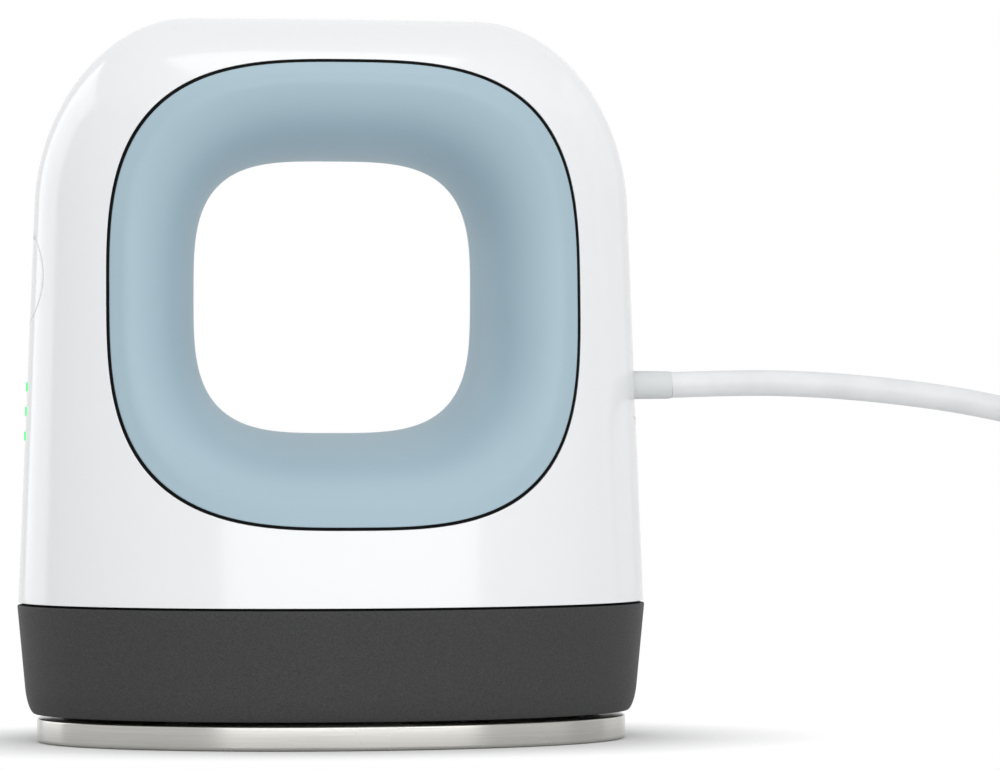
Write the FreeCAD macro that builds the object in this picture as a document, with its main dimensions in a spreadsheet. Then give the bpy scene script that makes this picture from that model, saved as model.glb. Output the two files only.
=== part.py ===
import FreeCAD, Part
import Sketcher
import math
import os
from FreeCAD import Placement, Rotation, Vector

# A mini handheld heat press: an upright casing in two halves round an open handle hole, a
# heat-resistant skirt, and a heated sole plate under it.
# Frame: the origin is the middle of the sole plate's underside, where the press stands on the
# table. +X points to the side where the cord leaves, +Y to the rear, +Z up. Millimetres.

SIZES = (
    # casing: oval plan sections that lean inwards and close in rounded corners and a crown
    ("casing_top", 100.8, "height of the crown above the table"),
    ("casing_half_width", 43.9, "half width at the seam"),
    ("casing_half_depth", 26.9, "half depth at the seam"),
    ("seam_height", 19.35, "lower edge of the casing"),
    ("side_lean", 0.04, "inward lean of the sides for each mm of height"),
    ("face_lean", 0.071, "inward lean of front and rear for each mm of height"),
    ("plan_fullness", 2.0, "exponent of the oval plan sections"),
    ("corner_start", 74.7, "height where the upper corners begin"),
    ("crown_half_width", 19.9, "half length of the straight crown"),
    ("crown_start", 85.7, "height where front and rear begin to close"),
    ("casing_wall", 2.2, "wall of the casing"),
    ("half_gap", 0.05, "each casing half stays this far from the parting plane"),
    # handle hole and its grip lining
    ("grip_height", 61.9, "middle of the handle hole above the table"),
    ("grip_half_width", 32.7, "half width of the casing's opening"),
    ("grip_half_height", 32.1, "half height of the casing's opening"),
    ("grip_fullness", 3.11, "exponent of the opening's outline"),
    ("grip_rim", 2.6, "width of the rim that continues the casing's face"),
    ("grip_wall", 2.0, "wall of the grip lining"),
    ("waist_half_width", 19.65, "half width of the hole at its waist"),
    ("waist_half_height", 19.05, "half height of the hole at its waist"),
    ("waist_fullness", 3.42, "exponent of the waist's outline"),
    ("grip_gap", 0.42, "joint between casing and grip lining, which the seal fills"),
    ("seal_recess", 0.3, "depth of the seal below the casing's face"),
    ("seal_play", 0.03, "between the seal and the casing's edge"),
    ("ledge_reach", 2.4, "how far the grip's seat reaches in from the opening"),
    ("ledge_root", 1.6, "how far the grip's seat is rooted in the casing's wall"),
    ("ledge_thickness", 2.0, "thickness of the grip's seat"),
    ("seat_gap", 0.2, "between the grip's rim and its seat"),
    # skirt, seam gasket and chassis tray
    ("skirt_bottom", 3.9, "lower edge of the skirt above the table"),
    ("skirt_top", 19.0, "upper edge of the skirt"),
    ("skirt_proud", 0.15, "the skirt stands out from the casing by this"),
    ("skirt_taper", 0.095, "inward lean of the skirt for each mm downwards"),
    ("skirt_foot_round", 1.0, "how far the skirt's lower edge is rounded in"),
    ("skirt_foot_height", 3.6, "height of that rounding"),
    ("skirt_wall", 2.4, "wall of the skirt"),
    ("ledge_top", 15.8, "seat of the chassis tray in the skirt"),
    ("ledge_depth", 2.0, "thickness of that seat"),
    ("ledge_width", 5.1, "width of that seat"),
    ("gasket_inset", 0.5, "the gasket lies back from the skirt's face by this"),
    ("gasket_width", 1.5, "width of the gasket"),
    ("tray_thickness", 2.2, "chassis tray"),
    ("tray_play", 0.25, "between the tray and the skirt's wall"),
    # sole plate and heating
    ("plate_half_width", 41.3, "half width of the sole plate"),
    ("plate_half_depth", 24.4, "half depth of the sole plate"),
    ("plate_fullness", 2.05, "exponent of the sole plate's outline"),
    ("plate_thickness", 3.3, "thickness of the sole plate's rim"),
    ("plate_edge_round", 0.5, "round of the sole plate's lower edge"),
    ("plate_boss_half_width", 37.5, "half width of the raised middle of the plate"),
    ("plate_boss_half_depth", 20.5, "half depth of the raised middle"),
    ("plate_boss_height", 3.2, "height of the raised middle above the rim"),
    ("element_radius", 3.0, "sheath of the heating element"),
    ("element_bend", 7.5, "radius of the element's bend, half the distance of its legs"),
    ("element_leg", 31.0, "straight length of each leg"),
    ("element_bend_x", 14.0, "where the element's bend begins"),
    ("groove_play", 0.05, "between element and groove"),
    ("pin_radius", 1.1, "terminal pins of the element"),
    ("pin_length", 3.5, "length of the terminal pins"),
    ("clamp_length", 32.0, "plate that holds the element down"),
    ("clamp_width", 18.4, "its width"),
    ("clamp_sheet", 1.0, "its thickness"),
    ("clamp_screw_x", 9.0, "its screws, each side of the middle"),
    ("clamp_pad_radius", 3.2, "pads on the plate under those screws"),
    ("post_x", 27.0, "stand-off posts, each side of the middle"),
    ("post_y", 8.5, "stand-off posts, to front and rear"),
    ("post_radius", 2.75, "stand-off posts"),
    ("shield_level", 13.7, "underside of the heat shield"),
    ("shield_sheet", 0.5, "thickness of the heat shield"),
    ("shield_half_width", 34.8, "half width of heat shield and insulation"),
    ("shield_half_depth", 17.3, "half depth of heat shield and insulation"),
    ("shield_fullness", 2.35, "exponent of their outline and of the plate's raised middle"),
    ("blanket_thickness", 2.4, "insulation blanket"),
    ("soft_gap", 0.3, "round the soft blanket"),
    ("heater_wire_x", 23.6, "passage of the heater wires, left of the middle"),
    ("heater_wire_y", 4.0, "passage of the heater wires, to front and rear"),
    ("sensor_x", -4.0, "temperature sensor on the plate"),
    ("sensor_y", 15.0, "temperature sensor on the plate"),
    ("sensor_wire_x", -12.5, "passage of the sensor wire"),
    ("side_wire_y", 11.0, "passages of sensor and cut-off wires, to front and rear"),
    ("lug_sheet", 0.8, "screwed lugs of sensor and cut-off"),
    ("sensor_lug", 3.5, "screw of the sensor, beside its middle"),
    ("cutoff_y", -13.6, "thermal cut-off on the plate"),
    ("cutoff_lug", 4.4, "screw of the cut-off, before its middle"),
    ("cutoff_radius", 1.9, "thermal cut-off"),
    ("cutoff_length", 11.0, "thermal cut-off"),
    ("cutoff_wire_x", 9.2, "passages of the cut-off's wires, each side of the middle"),
    ("wire_radius", 0.9, "mains and heater wires"),
    ("thin_wire_radius", 0.7, "sensor and cut-off wires"),
    ("wire_hole_radius", 1.7, "passages of the inner wires"),
    # screws
    ("screw_radius", 1.25, "shank of the casing, tray and post screws"),
    ("screw_head_radius", 2.2, "their heads"),
    ("screw_head_height", 1.7, "their heads"),
    ("small_screw_radius", 1.0, "shank of the board, sensor and clamp screws"),
    ("small_head_radius", 1.9, "their heads"),
    ("small_head_height", 1.4, "their heads"),
    ("bore_play", 0.06, "between a screw and its bore"),
    ("base_screw_x", 25.2, "screws from the skirt's seat up into the casing"),
    ("base_screw_y", 15.8, "screws from the skirt's seat up into the casing"),
    ("base_boss_radius", 2.9, "casing bosses of those screws"),
    ("base_boss_height", 8.0, "casing bosses of those screws"),
    ("casing_screw_x", 24.0, "screws that join the casing's halves under the grip"),
    ("casing_screw_rise", 24.0, "their height above and below the middle of the hole"),
    ("casing_boss_radius", 3.2, "their bosses"),
    ("boss_set_back", 4.4, "the bosses end this far below the casing's face"),
    # control board
    ("board_length", 60.0, "control board"),
    ("board_width", 24.0, "control board"),
    ("board_sheet", 1.6, "control board"),
    ("board_corner", 2.0, "corner of the control board"),
    ("board_rise", 3.5, "bosses of the tray under the board"),
    ("board_screw_x", 20.0, "board screws"),
    ("board_screw_y", 9.0, "board screws"),
    ("board_boss_radius", 2.75, "bosses of the tray under the board"),
    # power button, its switch and side board
    ("button_height", 64.2, "middle of the power button above the table"),
    ("button_radius", 5.75, "power button"),
    ("button_play", 0.2, "round the power button"),
    ("button_travel", 0.6, "how far the button goes in"),
    ("button_seat", 2.6, "depth of the button's stop below the casing's side"),
    ("button_flange", 1.0, "thickness and width of the button's flange"),
    ("collar_wall", 1.4, "wall of the collar that guides the flange"),
    ("switch_face", 4.6, "depth of the switch below the casing's side"),
    ("switch_height", 3.4, "switch housing, from the side board to its face"),
    ("switch_width", 6.0, "switch housing"),
    ("plunger_radius", 1.6, "switch plunger"),
    ("plunger_grip", 1.2, "length of the plunger inside the housing at rest"),
    ("dome_thickness", 0.15, "snap dome under the plunger"),
    ("side_board_sheet", 1.2, "side board"),
    ("side_board_width", 13.0, "side board"),
    ("side_board_bottom", 38.5, "lower edge of the side board"),
    ("side_board_length", 40.0, "side board"),
    ("side_screw_y", 4.2, "screws of the side board"),
    ("side_screw_low", 54.4, "lower screw of the side board"),
    ("side_screw_high", 75.0, "upper screw of the side board"),
    ("side_boss_radius", 2.4, "bosses of the side board's screws"),
    # indicator lamps
    ("lamp_low", 42.45, "lowest lamp above the table"),
    ("lamp_pitch", 3.42, "distance of the lamps"),
    ("lamp_radius", 0.65, "light pins in the casing's side"),
    ("lamp_proud", 0.15, "how far the light pins stand out"),
    ("lamp_play", 0.08, "round the light pins"),
    ("lamp_size", 1.6, "lamps on the side board"),
    ("guide_bar", 1.4, "thickness of the bar that joins the light pins"),
    # cord entry
    ("cord_height", 49.6, "middle of the cord's exit above the table"),
    ("cord_radius", 1.85, "mains cord"),
    ("dish_radius", 5.45, "scooped dish round the cord's exit"),
    ("dish_depth", 1.6, "scooped dish round the cord's exit"),
    ("socket_radius", 6.6, "boss inside the casing behind the dish"),
    ("socket_depth", 6.2, "inner end of that boss below the casing's side"),
    ("relief_neck_radius", 2.5, "strain relief in the casing's wall"),
    ("relief_flange_radius", 4.6, "flange behind the wall"),
    ("relief_flange", 1.2, "thickness of that flange"),
    ("relief_sleeve_radius", 2.8, "sleeve under the cord clamp"),
    ("relief_sleeve", 5.0, "length of that sleeve"),
    ("relief_root_radius", 2.0, "boot where it leaves the dish"),
    ("relief_reach", 5.4, "boot outside the casing's side"),
    ("relief_play", 0.1, "round the strain relief"),
    ("cord_clamp_width", 4.0, "cord clamp and its saddle"),
    ("cord_clamp_height", 17.0, "cord clamp and its saddle"),
    ("cord_clamp_depth", 4.4, "cord clamp"),
    ("cord_clamp_screw", 6.2, "its screws, above and below the cord"),
    # put-away cord and plug
    ("coil_x", 172.0, "middle of the coil"),
    ("coil_middle_radius", 22.0, "middle of the coil's turns"),
    ("coil_columns", 3, "turns beside each other"),
    ("coil_layers", 4, "turns on each other"),
    ("plug_rear_x", 154.0, "where the lead enters the plug's strain relief"),
    ("plug_relief_length", 16.0, "strain relief of the plug"),
    ("plug_relief_tail", 2.4, "its radius at the lead"),
    ("plug_relief_root", 4.0, "its radius at the plug"),
    ("plug_length", 26.0, "plug body"),
    ("plug_width", 22.0, "plug body"),
    ("plug_thickness", 15.0, "plug body"),
    ("plug_round", 4.0, "edges of the plug body"),
    ("blade_length", 17.5, "plug blades"),
    ("blade_width", 6.35, "plug blades"),
    ("blade_thickness", 1.5, "plug blades"),
    ("blade_spacing", 12.7, "distance of the blades"),
    ("blade_hole_radius", 1.6, "hole near the tip of each blade"),
)

doc = FreeCAD.newDocument("HeatPress")
sheet = doc.addObject("Spreadsheet::Sheet", "Sizes")


class Size(float):
    """A number that remembers which cells of the sheet it comes from."""

    def __new__(cls, number, text):
        self = float.__new__(cls, number)
        self.text = text
        return self

    def __add__(self, other):
        return Size(float(self) + float(other), f"({text_of(self)} + {text_of(other)})")

    def __radd__(self, other):
        return Size(float(other) + float(self), f"({text_of(other)} + {text_of(self)})")

    def __sub__(self, other):
        return Size(float(self) - float(other), f"({text_of(self)} - {text_of(other)})")

    def __rsub__(self, other):
        return Size(float(other) - float(self), f"({text_of(other)} - {text_of(self)})")

    def __mul__(self, other):
        return Size(float(self) * float(other), f"({text_of(self)} * {text_of(other)})")

    __rmul__ = __mul__

    def __truediv__(self, other):
        return Size(float(self) / float(other), f"({text_of(self)} / {text_of(other)})")

    def __neg__(self):
        return Size(-float(self), f"(0 - {text_of(self)})")


def text_of(number):
    """The number as an expression: its cells, or its digits where it comes from none."""
    return number.text if isinstance(number, Size) else f"{float(number):.9g}"


class Namespace:
    """The sheet's cells as attributes."""


size = Namespace()
for row, (alias, number, meaning) in enumerate(SIZES, start=1):
    sheet.set(f"A{row}", meaning)
    sheet.set(f"B{row}", str(number))
    sheet.setAlias(f"B{row}", alias)
doc.recompute()
for alias, number, meaning in SIZES:
    setattr(size, alias, Size(sheet.get(alias), f"Sizes.{alias}"))

ALONG = {
    "x": Rotation(Vector(0, 0, 1), Vector(1, 0, 0)),
    "y": Rotation(Vector(0, 0, 1), Vector(0, 1, 0)),
    "z": Rotation(),
}
MIRROR = (-1, 1)
CORNERS = [(side, end) for side in MIRROR for end in MIRROR]
SPLINE_POINTS = 72
pieces = {}


# Document objects bound to the sheet


def bind(obj, prop, number):
    """Sets one property, by expression where the number comes from the sheet."""
    if isinstance(number, Size):
        obj.setExpression(prop, number.text)
    elif prop.startswith("Placement"):
        placement = obj.Placement
        setattr(placement.Base, prop[-1], float(number))
        obj.Placement = placement
    else:
        setattr(obj, prop, float(number))


def place(obj, at, turn="z"):
    """Puts an object at a point, turned so that its own +Z runs along the named axis."""
    obj.Placement = Placement(Vector(*[float(c) for c in at]), ALONG[turn])
    for axis, coordinate in zip("xyz", at):
        if isinstance(coordinate, Size):
            obj.setExpression(f"Placement.Base.{axis}", coordinate.text)
    return obj


def box(low, lengths):
    """A block from its lowest corner and its three lengths."""
    obj = doc.addObject("Part::Box", "Block")
    for prop, length in zip(("Length", "Width", "Height"), lengths):
        bind(obj, prop, length)
    return place(obj, low)


def rod(radius, length, at, along="z"):
    """A round rod that starts at a point and runs along +X, +Y or +Z."""
    obj = doc.addObject("Part::Cylinder", "Rod")
    bind(obj, "Radius", radius)
    bind(obj, "Height", length)
    return place(obj, at, along)


def cone(start_radius, end_radius, length, at, along="z"):
    """A round taper that starts at a point and runs along +X, +Y or +Z."""
    obj = doc.addObject("Part::Cone", "Taper")
    bind(obj, "Radius1", start_radius)
    bind(obj, "Radius2", end_radius)
    bind(obj, "Height", length)
    return place(obj, at, along)


def ball(radius, at):
    obj = doc.addObject("Part::Sphere", "Ball")
    bind(obj, "Radius", radius)
    return place(obj, at)


def shaped(shape, name="Form"):
    """A shape worked out by the functions below, as a document object."""
    obj = doc.addObject("Part::Feature", name)
    obj.Shape = shape
    return obj


def fuse(*parts):
    obj = doc.addObject("Part::MultiFuse", "Joined")
    obj.Shapes = list(parts)
    obj.Refine = False
    return obj


def group(*parts):
    """Several separate solids in one object."""
    obj = doc.addObject("Part::Compound", "Group")
    obj.Links = list(parts)
    return obj


def cut(base, *tools):
    obj = doc.addObject("Part::Cut", "Cut")
    obj.Base = base
    obj.Tool = tools[0] if len(tools) == 1 else group(*tools)
    obj.Refine = False
    return obj


def common(*parts):
    obj = doc.addObject("Part::MultiCommon", "Shared")
    obj.Shapes = list(parts)
    obj.Refine = False
    return obj


def piece(label, obj):
    """Registers an object as a sub-part of the press under its own name."""
    obj.Label = label
    pieces[label] = obj
    return obj


# Sketched sheets: a rectangle with round holes, drawn about the middle of its own body


def sketched_sheet(label, length, width, thickness, holes=(), corner=None):
    """A PartDesign body: a rectangular pad on XY, with holes (x, y, radius) and round corners."""
    body = doc.addObject("PartDesign::Body", "Body_" + label)
    plane = next(f for f in body.Origin.OriginFeatures if f.Role == "XY_Plane")
    sketch = body.newObject("Sketcher::SketchObject", "Outline_" + label)
    sketch.AttachmentSupport = [(plane, "")]
    sketch.MapMode = "FlatFace"
    draw_rectangle(sketch, length, width)
    for number, (x, y, radius) in enumerate(holes):
        draw_circle(sketch, number, x, y, radius)
    pad = body.newObject("PartDesign::Pad", "Pad_" + label)
    pad.Profile = sketch
    bind(pad, "Length", thickness)
    doc.recompute()
    if corner is not None:
        upright = [
            f"Edge{n}"
            for n, edge in enumerate(pad.Shape.Edges, start=1)
            if is_upright_corner(edge, float(length) / 2, float(width) / 2)
        ]
        fillet = body.newObject("PartDesign::Fillet", "Corners_" + label)
        fillet.Base = (pad, upright)
        bind(fillet, "Radius", corner)
        doc.recompute()
    return piece(label, body)


def draw_rectangle(sketch, length, width):
    """Four lines, symmetric about the sketch's origin, held by two lengths."""
    x, y = float(length) / 2, float(width) / 2
    corners = [Vector(-x, -y, 0), Vector(x, -y, 0), Vector(x, y, 0), Vector(-x, y, 0)]
    for k in range(4):
        sketch.addGeometry(Part.LineSegment(corners[k], corners[(k + 1) % 4]))
    for k in range(4):
        sketch.addConstraint(Sketcher.Constraint("Coincident", k, 2, (k + 1) % 4, 1))
        level = "Horizontal" if k % 2 == 0 else "Vertical"
        sketch.addConstraint(Sketcher.Constraint(level, k))
    sketch.addConstraint(Sketcher.Constraint("Symmetric", 0, 1, 1, 2, -1, 1))
    for name, kind, line, number in (
        ("length", "DistanceX", 0, length),
        ("width", "DistanceY", 1, width),
    ):
        index = sketch.addConstraint(Sketcher.Constraint(kind, line, 1, line, 2, float(number)))
        sketch.renameConstraint(index, name)
        sketch.setExpression(f"Constraints.{name}", text_of(number))


def draw_circle(sketch, number, x, y, radius):
    """One round hole, held by its middle and its radius."""
    middle = Vector(float(x), float(y), 0)
    k = sketch.addGeometry(Part.Circle(middle, Vector(0, 0, 1), float(radius)))
    for name, constraint, value in (
        (f"x{number}", Sketcher.Constraint("DistanceX", -1, 1, k, 3, float(x)), x),
        (f"y{number}", Sketcher.Constraint("DistanceY", -1, 1, k, 3, float(y)), y),
        (f"r{number}", Sketcher.Constraint("Radius", k, float(radius)), radius),
    ):
        index = sketch.addConstraint(constraint)
        sketch.renameConstraint(index, "hole_" + name)
        sketch.setExpression(f"Constraints.hole_{name}", text_of(value))


def is_upright_corner(edge, x, y):
    """True for the four vertical edges at a pad's corners."""
    ends = [v.Point for v in edge.Vertexes]
    if len(ends) != 2 or abs(ends[0].z - ends[1].z) < 1e-6:
        return False
    return all(abs(abs(p.x) - x) < 1e-6 and abs(abs(p.y) - y) < 1e-6 for p in ends)


# Ovals: curves |x/a|^n + |y/b|^n = 1, and the solids made from them


def oval_point(half_x, half_y, fullness, angle):
    """The point of an oval at an angle, as (x, y)."""
    c, s = math.cos(angle), math.sin(angle)
    k = (abs(c) ** fullness + abs(s) ** fullness) ** (1 / fullness)
    return half_x * c / k, half_y * s / k


def closed_curve(points):
    curve = Part.BSplineCurve()
    curve.interpolate(Points=points, PeriodicFlag=True)
    return curve.toShape()


def angles():
    return [2 * math.pi * k / SPLINE_POINTS for k in range(SPLINE_POINTS)]


def flat_oval(half_x, half_y, fullness, level):
    """A level oval wire at a height."""
    points = [oval_point(float(half_x), float(half_y), float(fullness), a) for a in angles()]
    return Part.Wire([closed_curve([Vector(x, y, float(level)) for x, y in points])])


def oval_slab(half_x, half_y, fullness, low, high):
    """An upright prism on an oval."""
    face = Part.Face(flat_oval(half_x, half_y, fullness, low))
    return face.extrude(Vector(0, 0, float(high) - float(low)))


def oval_band(half_x, half_y, fullness, low, high, width):
    """The slab's outer band of a given width."""
    outer = oval_slab(half_x, half_y, fullness, low, high)
    return outer.cut(oval_slab(half_x - width, half_y - width, fullness, low - 1, high + 1))


def closing(height, start, top):
    """1 up to start, then down to 0 at top along a quarter of an ellipse."""
    t = max(0.0, (height - start) / (top - start))
    return math.sqrt(max(0.0, 1 - t * t))


def casing_half_width(height, inset=0.0):
    """Half width of the casing at a height, or of the surface a given depth inside it."""
    leaning = size.casing_half_width - size.side_lean * (height - size.seam_height) - inset
    corner = closing(height, float(size.corner_start), size.casing_top - inset)
    return size.crown_half_width + (leaning - size.crown_half_width) * corner


def casing_half_depth(height, inset=0.0):
    """Half depth of the casing at a height, or of the surface a given depth inside it."""
    leaning = size.casing_half_depth - size.face_lean * (height - size.seam_height) - inset
    return leaning * closing(height, float(size.crown_start), size.casing_top - inset)


def casing_side(height):
    """Half width below the upper corners, as an expression."""
    return size.casing_half_width - size.side_lean * (height - size.seam_height)


def casing_face(x, height, inset=0.0):
    """Distance of the casing's face from the parting plane at x and a height."""
    share = min(1.0, abs(x) / casing_half_width(height, inset))
    full = float(size.plan_fullness)
    return casing_half_depth(height, inset) * (1 - share**full) ** (1 / full)


def casing_form(inset=0.0, bottom=None, sections=15):
    """The casing's closed outer form, or the form a given depth inside it."""
    low = float(size.seam_height if bottom is None else bottom)
    top = size.casing_top - inset
    wires = []
    for k in range(sections):
        rise = math.sin(0.985 * math.pi / 2 * k / (sections - 1))
        level = low + (top - low) * rise
        half_x, half_y = casing_half_width(level, inset), casing_half_depth(level, inset)
        wires.append(flat_oval(half_x, half_y, size.plan_fullness, level))
    return Part.makeLoft(wires, True, False)


# The handle hole: outlines in the XZ plane, and bands carried round them


def opening_point(angle, inset=0.0):
    """The casing's opening, or a curve a given distance inside it, as (x, z)."""
    x, z = oval_point(
        size.grip_half_width - inset,
        size.grip_half_height - inset,
        float(size.grip_fullness),
        angle,
    )
    return x, size.grip_height + z


def waist_point(angle, outset=0.0):
    """The hole's waist, or a curve a given distance outside it, as (x, z)."""
    x, z = oval_point(
        size.waist_half_width + outset,
        size.waist_half_height + outset,
        float(size.waist_fullness),
        angle,
    )
    return x, size.grip_height + z


def opening_prism():
    """A prism along Y that clears the whole opening through both faces."""
    reach = 2 * size.casing_half_depth
    points = [Vector(x, -reach, z) for x, z in map(opening_point, angles())]
    face = Part.Face(Part.Wire([closed_curve(points)]))
    return face.extrude(Vector(0, 2 * reach, 0))


def round_curve(point):
    """The closed curve of a function that gives a point for each angle."""
    return closed_curve([Vector(*point(a)) for a in angles()])


def closed_bands(*bands):
    """A ring-shaped solid from bands of closed curves, each band starting on the last one's end."""
    faces = []
    for band in bands:
        if len(band) == 2:
            faces.append(Part.makeRuledSurface(band[0], band[1]))
        else:
            faces += Part.makeLoft([Part.Wire([c]) for c in band], False, False).Faces
    skin = Part.makeCompound(faces)
    skin.sewShape(0.01)
    solid = Part.Solid(skin.Shells[0])
    if solid.Volume < 0:
        solid.reverse()
    return solid


def square_ring(outer_inset, inner_inset, top_depth, bottom_depth):
    """A ring of four-sided section behind the front face, between two insets from the opening
    and two depths below the casing's face."""

    def corner(inset, depth):
        def point(angle):
            x, z = opening_point(angle, inset)
            return x, depth - casing_face(x, z), z

        return round_curve(point)

    a, b = corner(outer_inset, top_depth), corner(inner_inset, top_depth)
    c, d = corner(inner_inset, bottom_depth), corner(outer_inset, bottom_depth)
    return closed_bands([a, b], [b, c], [c, d], [d, a])


def rear_of(shape):
    """The same shape mirrored to the rear half."""
    return shape.mirror(Vector(0, 0, 0), Vector(0, 1, 0))


def grip_ring_form():
    """The front half of the grip lining. A rim continues the casing's face; from its crest a
    quarter of an ellipse runs into the hole and ends square to the parting plane at the waist.
    The back is the same surface one wall further in."""
    rows = 8
    wall, rim, gap = float(size.grip_wall), float(size.grip_rim), float(size.grip_gap)

    def rim_point(inset, depth=0.0):
        def point(angle):
            x, z = opening_point(angle, inset)
            return x, depth - casing_face(x, z), z

        return round_curve(point)

    def funnel(turn, thickness):
        def point(angle):
            crest_x, crest_z = opening_point(angle, rim)
            waist_x, waist_z = waist_point(angle, thickness)
            share = 1 - math.cos(turn)
            depth = casing_face(crest_x, crest_z) - thickness
            y = -size.half_gap - (depth - size.half_gap) * math.sin(turn)
            return (
                waist_x + (crest_x - waist_x) * share,
                y,
                waist_z + (crest_z - waist_z) * share,
            )

        return round_curve(point)

    turns = [math.pi / 2 * k / (rows - 1) for k in range(rows)]
    edge, middle = rim_point(gap), rim_point((gap + rim) / 2)
    skin = [funnel(t, 0.0) for t in reversed(turns)]
    back = [funnel(t, wall) for t in turns]
    root = rim_point(gap, wall)
    return closed_bands(
        [edge, middle, skin[0]],
        skin,
        [skin[-1], back[0]],
        back,
        [back[-1], root],
        [root, edge],
    )


# Paths: straight runs joined by arcs


def rounded_path(points, radius_of):
    """A wire along the points, with an arc of radius_of(runs, turn) at each one between."""
    points = [Vector(*[float(c) for c in p]) for p in points]
    edges, last, radii = [], points[0], []
    for before, here, after in zip(points, points[1:], points[2:]):
        back, ahead = before - here, after - here
        shorter = min(back.Length, ahead.Length)
        turn = math.pi - back.getAngle(ahead)
        radius = radius_of(shorter, turn)
        reach = radius * math.tan(turn / 2)
        back.normalize()
        ahead.normalize()
        start, end = here + back * reach, here + ahead * reach
        toward = (back + ahead).normalize()
        middle = here + toward * (radius / math.cos(turn / 2) - radius)
        edges.append(Part.LineSegment(last, start).toShape())
        edges.append(Part.Arc(start, middle, end).toShape())
        last = end
        radii.append(radius)
    edges.append(Part.LineSegment(last, points[-1]).toShape())
    return Part.Wire(edges), radii


def tube(points, radius, radius_of):
    """A round tube along a rounded path."""
    path, radii = rounded_path(points, radius_of)
    start = path.Edges[0].Vertexes[0].Point
    direction = path.Edges[0].tangentAt(path.Edges[0].FirstParameter)
    ring = Part.Wire([Part.Circle(start, direction, float(radius)).toShape()])
    return path.makePipeShell([ring], True, True), path, radii


def cord_bend(shorter, turn):
    """The largest arc that two runs allow."""
    return 0.45 * shorter / math.tan(turn / 2)


def wire(points, radius=None):
    """An insulated inner wire, bent as wide as its runs allow."""
    solid, path, radii = tube(points, size.wire_radius if radius is None else radius, cord_bend)
    return shaped(solid, "Wire")


def screw(at, along, length, small=False, head_before=True):
    """A screw whose head's bearing face is at a point: shank along the axis, head behind it."""
    shank = size.small_screw_radius if small else size.screw_radius
    head = size.small_head_radius if small else size.screw_head_radius
    height = size.small_head_height if small else size.screw_head_height
    x, y, z = at
    back = {"x": (x - height, y, z), "y": (x, y - height, z), "z": (x, y, z - height)}
    front = {"x": (x - length, y, z), "y": (x, y - length, z), "z": (x, y, z - length)}
    if head_before:
        return fuse(rod(shank, length, at, along), rod(head, height, back[along], along))
    return fuse(rod(shank, length, front[along], along), rod(head, height, at, along))


# Levels that several pieces share

boss_top = size.plate_thickness + size.plate_boss_height
clamp_level = boss_top + size.element_radius
blanket_top = size.shield_level - size.soft_gap
shield_top = size.shield_level + size.shield_sheet
tray_top = size.ledge_top + size.tray_thickness
board_level = tray_top + size.board_rise
board_top = board_level + size.board_sheet
button_side = casing_side(size.button_height)
cord_side = casing_side(size.cord_height)
switch_x = size.switch_face - button_side
side_board_x = switch_x + size.switch_height
board_back_x = side_board_x + size.side_board_sheet
wire_holes = [
    (-size.heater_wire_x, size.heater_wire_y),
    (-size.heater_wire_x, -size.heater_wire_y),
    (size.sensor_wire_x, size.side_wire_y),
    (-size.cutoff_wire_x, -size.side_wire_y),
    (size.cutoff_wire_x, -size.side_wire_y),
]
post_spots = [(size.post_x * i, size.post_y * j) for i, j in CORNERS]
base_spots = [(size.base_screw_x * i, size.base_screw_y * j) for i, j in CORNERS]
board_spots = [(size.board_screw_x * i, size.board_screw_y * j) for i, j in CORNERS]
casing_spots = [(size.casing_screw_x * i, size.grip_height + size.casing_screw_rise * j) for i, j in CORNERS]
clamp_spots = [(size.clamp_screw_x * i, 0.0) for i in MIRROR]
lug_spots = [(size.sensor_x + size.sensor_lug, size.sensor_y), (0.0, size.cutoff_y - size.cutoff_lug)]


# Sole plate and heating element


def element_path(level):
    """The element's centre line: two straight legs and a half-round bend."""
    x, y, leg = float(size.element_bend_x), float(size.element_bend), float(size.element_leg)
    z = float(level)
    far = Part.LineSegment(Vector(x - leg, y, z), Vector(x, y, z)).toShape()
    bend = Part.Arc(Vector(x, y, z), Vector(x + y, 0, z), Vector(x, -y, z)).toShape()
    near = Part.LineSegment(Vector(x, -y, z), Vector(x - leg, -y, z)).toShape()
    return Part.Wire([far, bend, near])


def element_sheath(radius):
    """The sheath along that line, as thick as radius says."""
    path = element_path(boss_top)
    start = path.Edges[0].Vertexes[0].Point
    ring = Part.Wire([Part.Circle(start, Vector(1, 0, 0), float(radius)).toShape()])
    return path.makePipeShell([ring], True, True)


def make_heat_plate():
    """A cast plate with an oval rim, a raised middle, a groove for the element, two pads for
    its clamp and blind holes for the posts."""
    rim = oval_slab(
        size.plate_half_width, size.plate_half_depth, size.plate_fullness, 0, size.plate_thickness
    )
    lower = [e for e in rim.Edges if e.BoundBox.ZMax < 1e-6]
    rim = rim.makeFillet(float(size.plate_edge_round), lower)
    middle = oval_slab(
        size.plate_boss_half_width,
        size.plate_boss_half_depth,
        size.shield_fullness,
        size.plate_thickness / 2,
        boss_top,
    )
    pads = [rod(size.clamp_pad_radius, size.element_radius, (x, y, boss_top)) for x, y in clamp_spots]
    depth = size.plate_boss_height
    bore = size.small_screw_radius + size.bore_play
    bores = [
        rod(bore, depth + size.element_radius, (x, y, size.plate_thickness)) for x, y in clamp_spots
    ]
    bores += [
        rod(size.screw_radius + size.bore_play, depth, (x, y, size.plate_thickness))
        for x, y in post_spots + lug_spots
    ]
    groove = shaped(element_sheath(size.element_radius + size.groove_play))
    recesses = [terminal_recess(j) for j in MIRROR]
    piece("heat_plate", cut(fuse(shaped(rim), shaped(middle), *pads), groove, *recesses, *bores))


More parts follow.
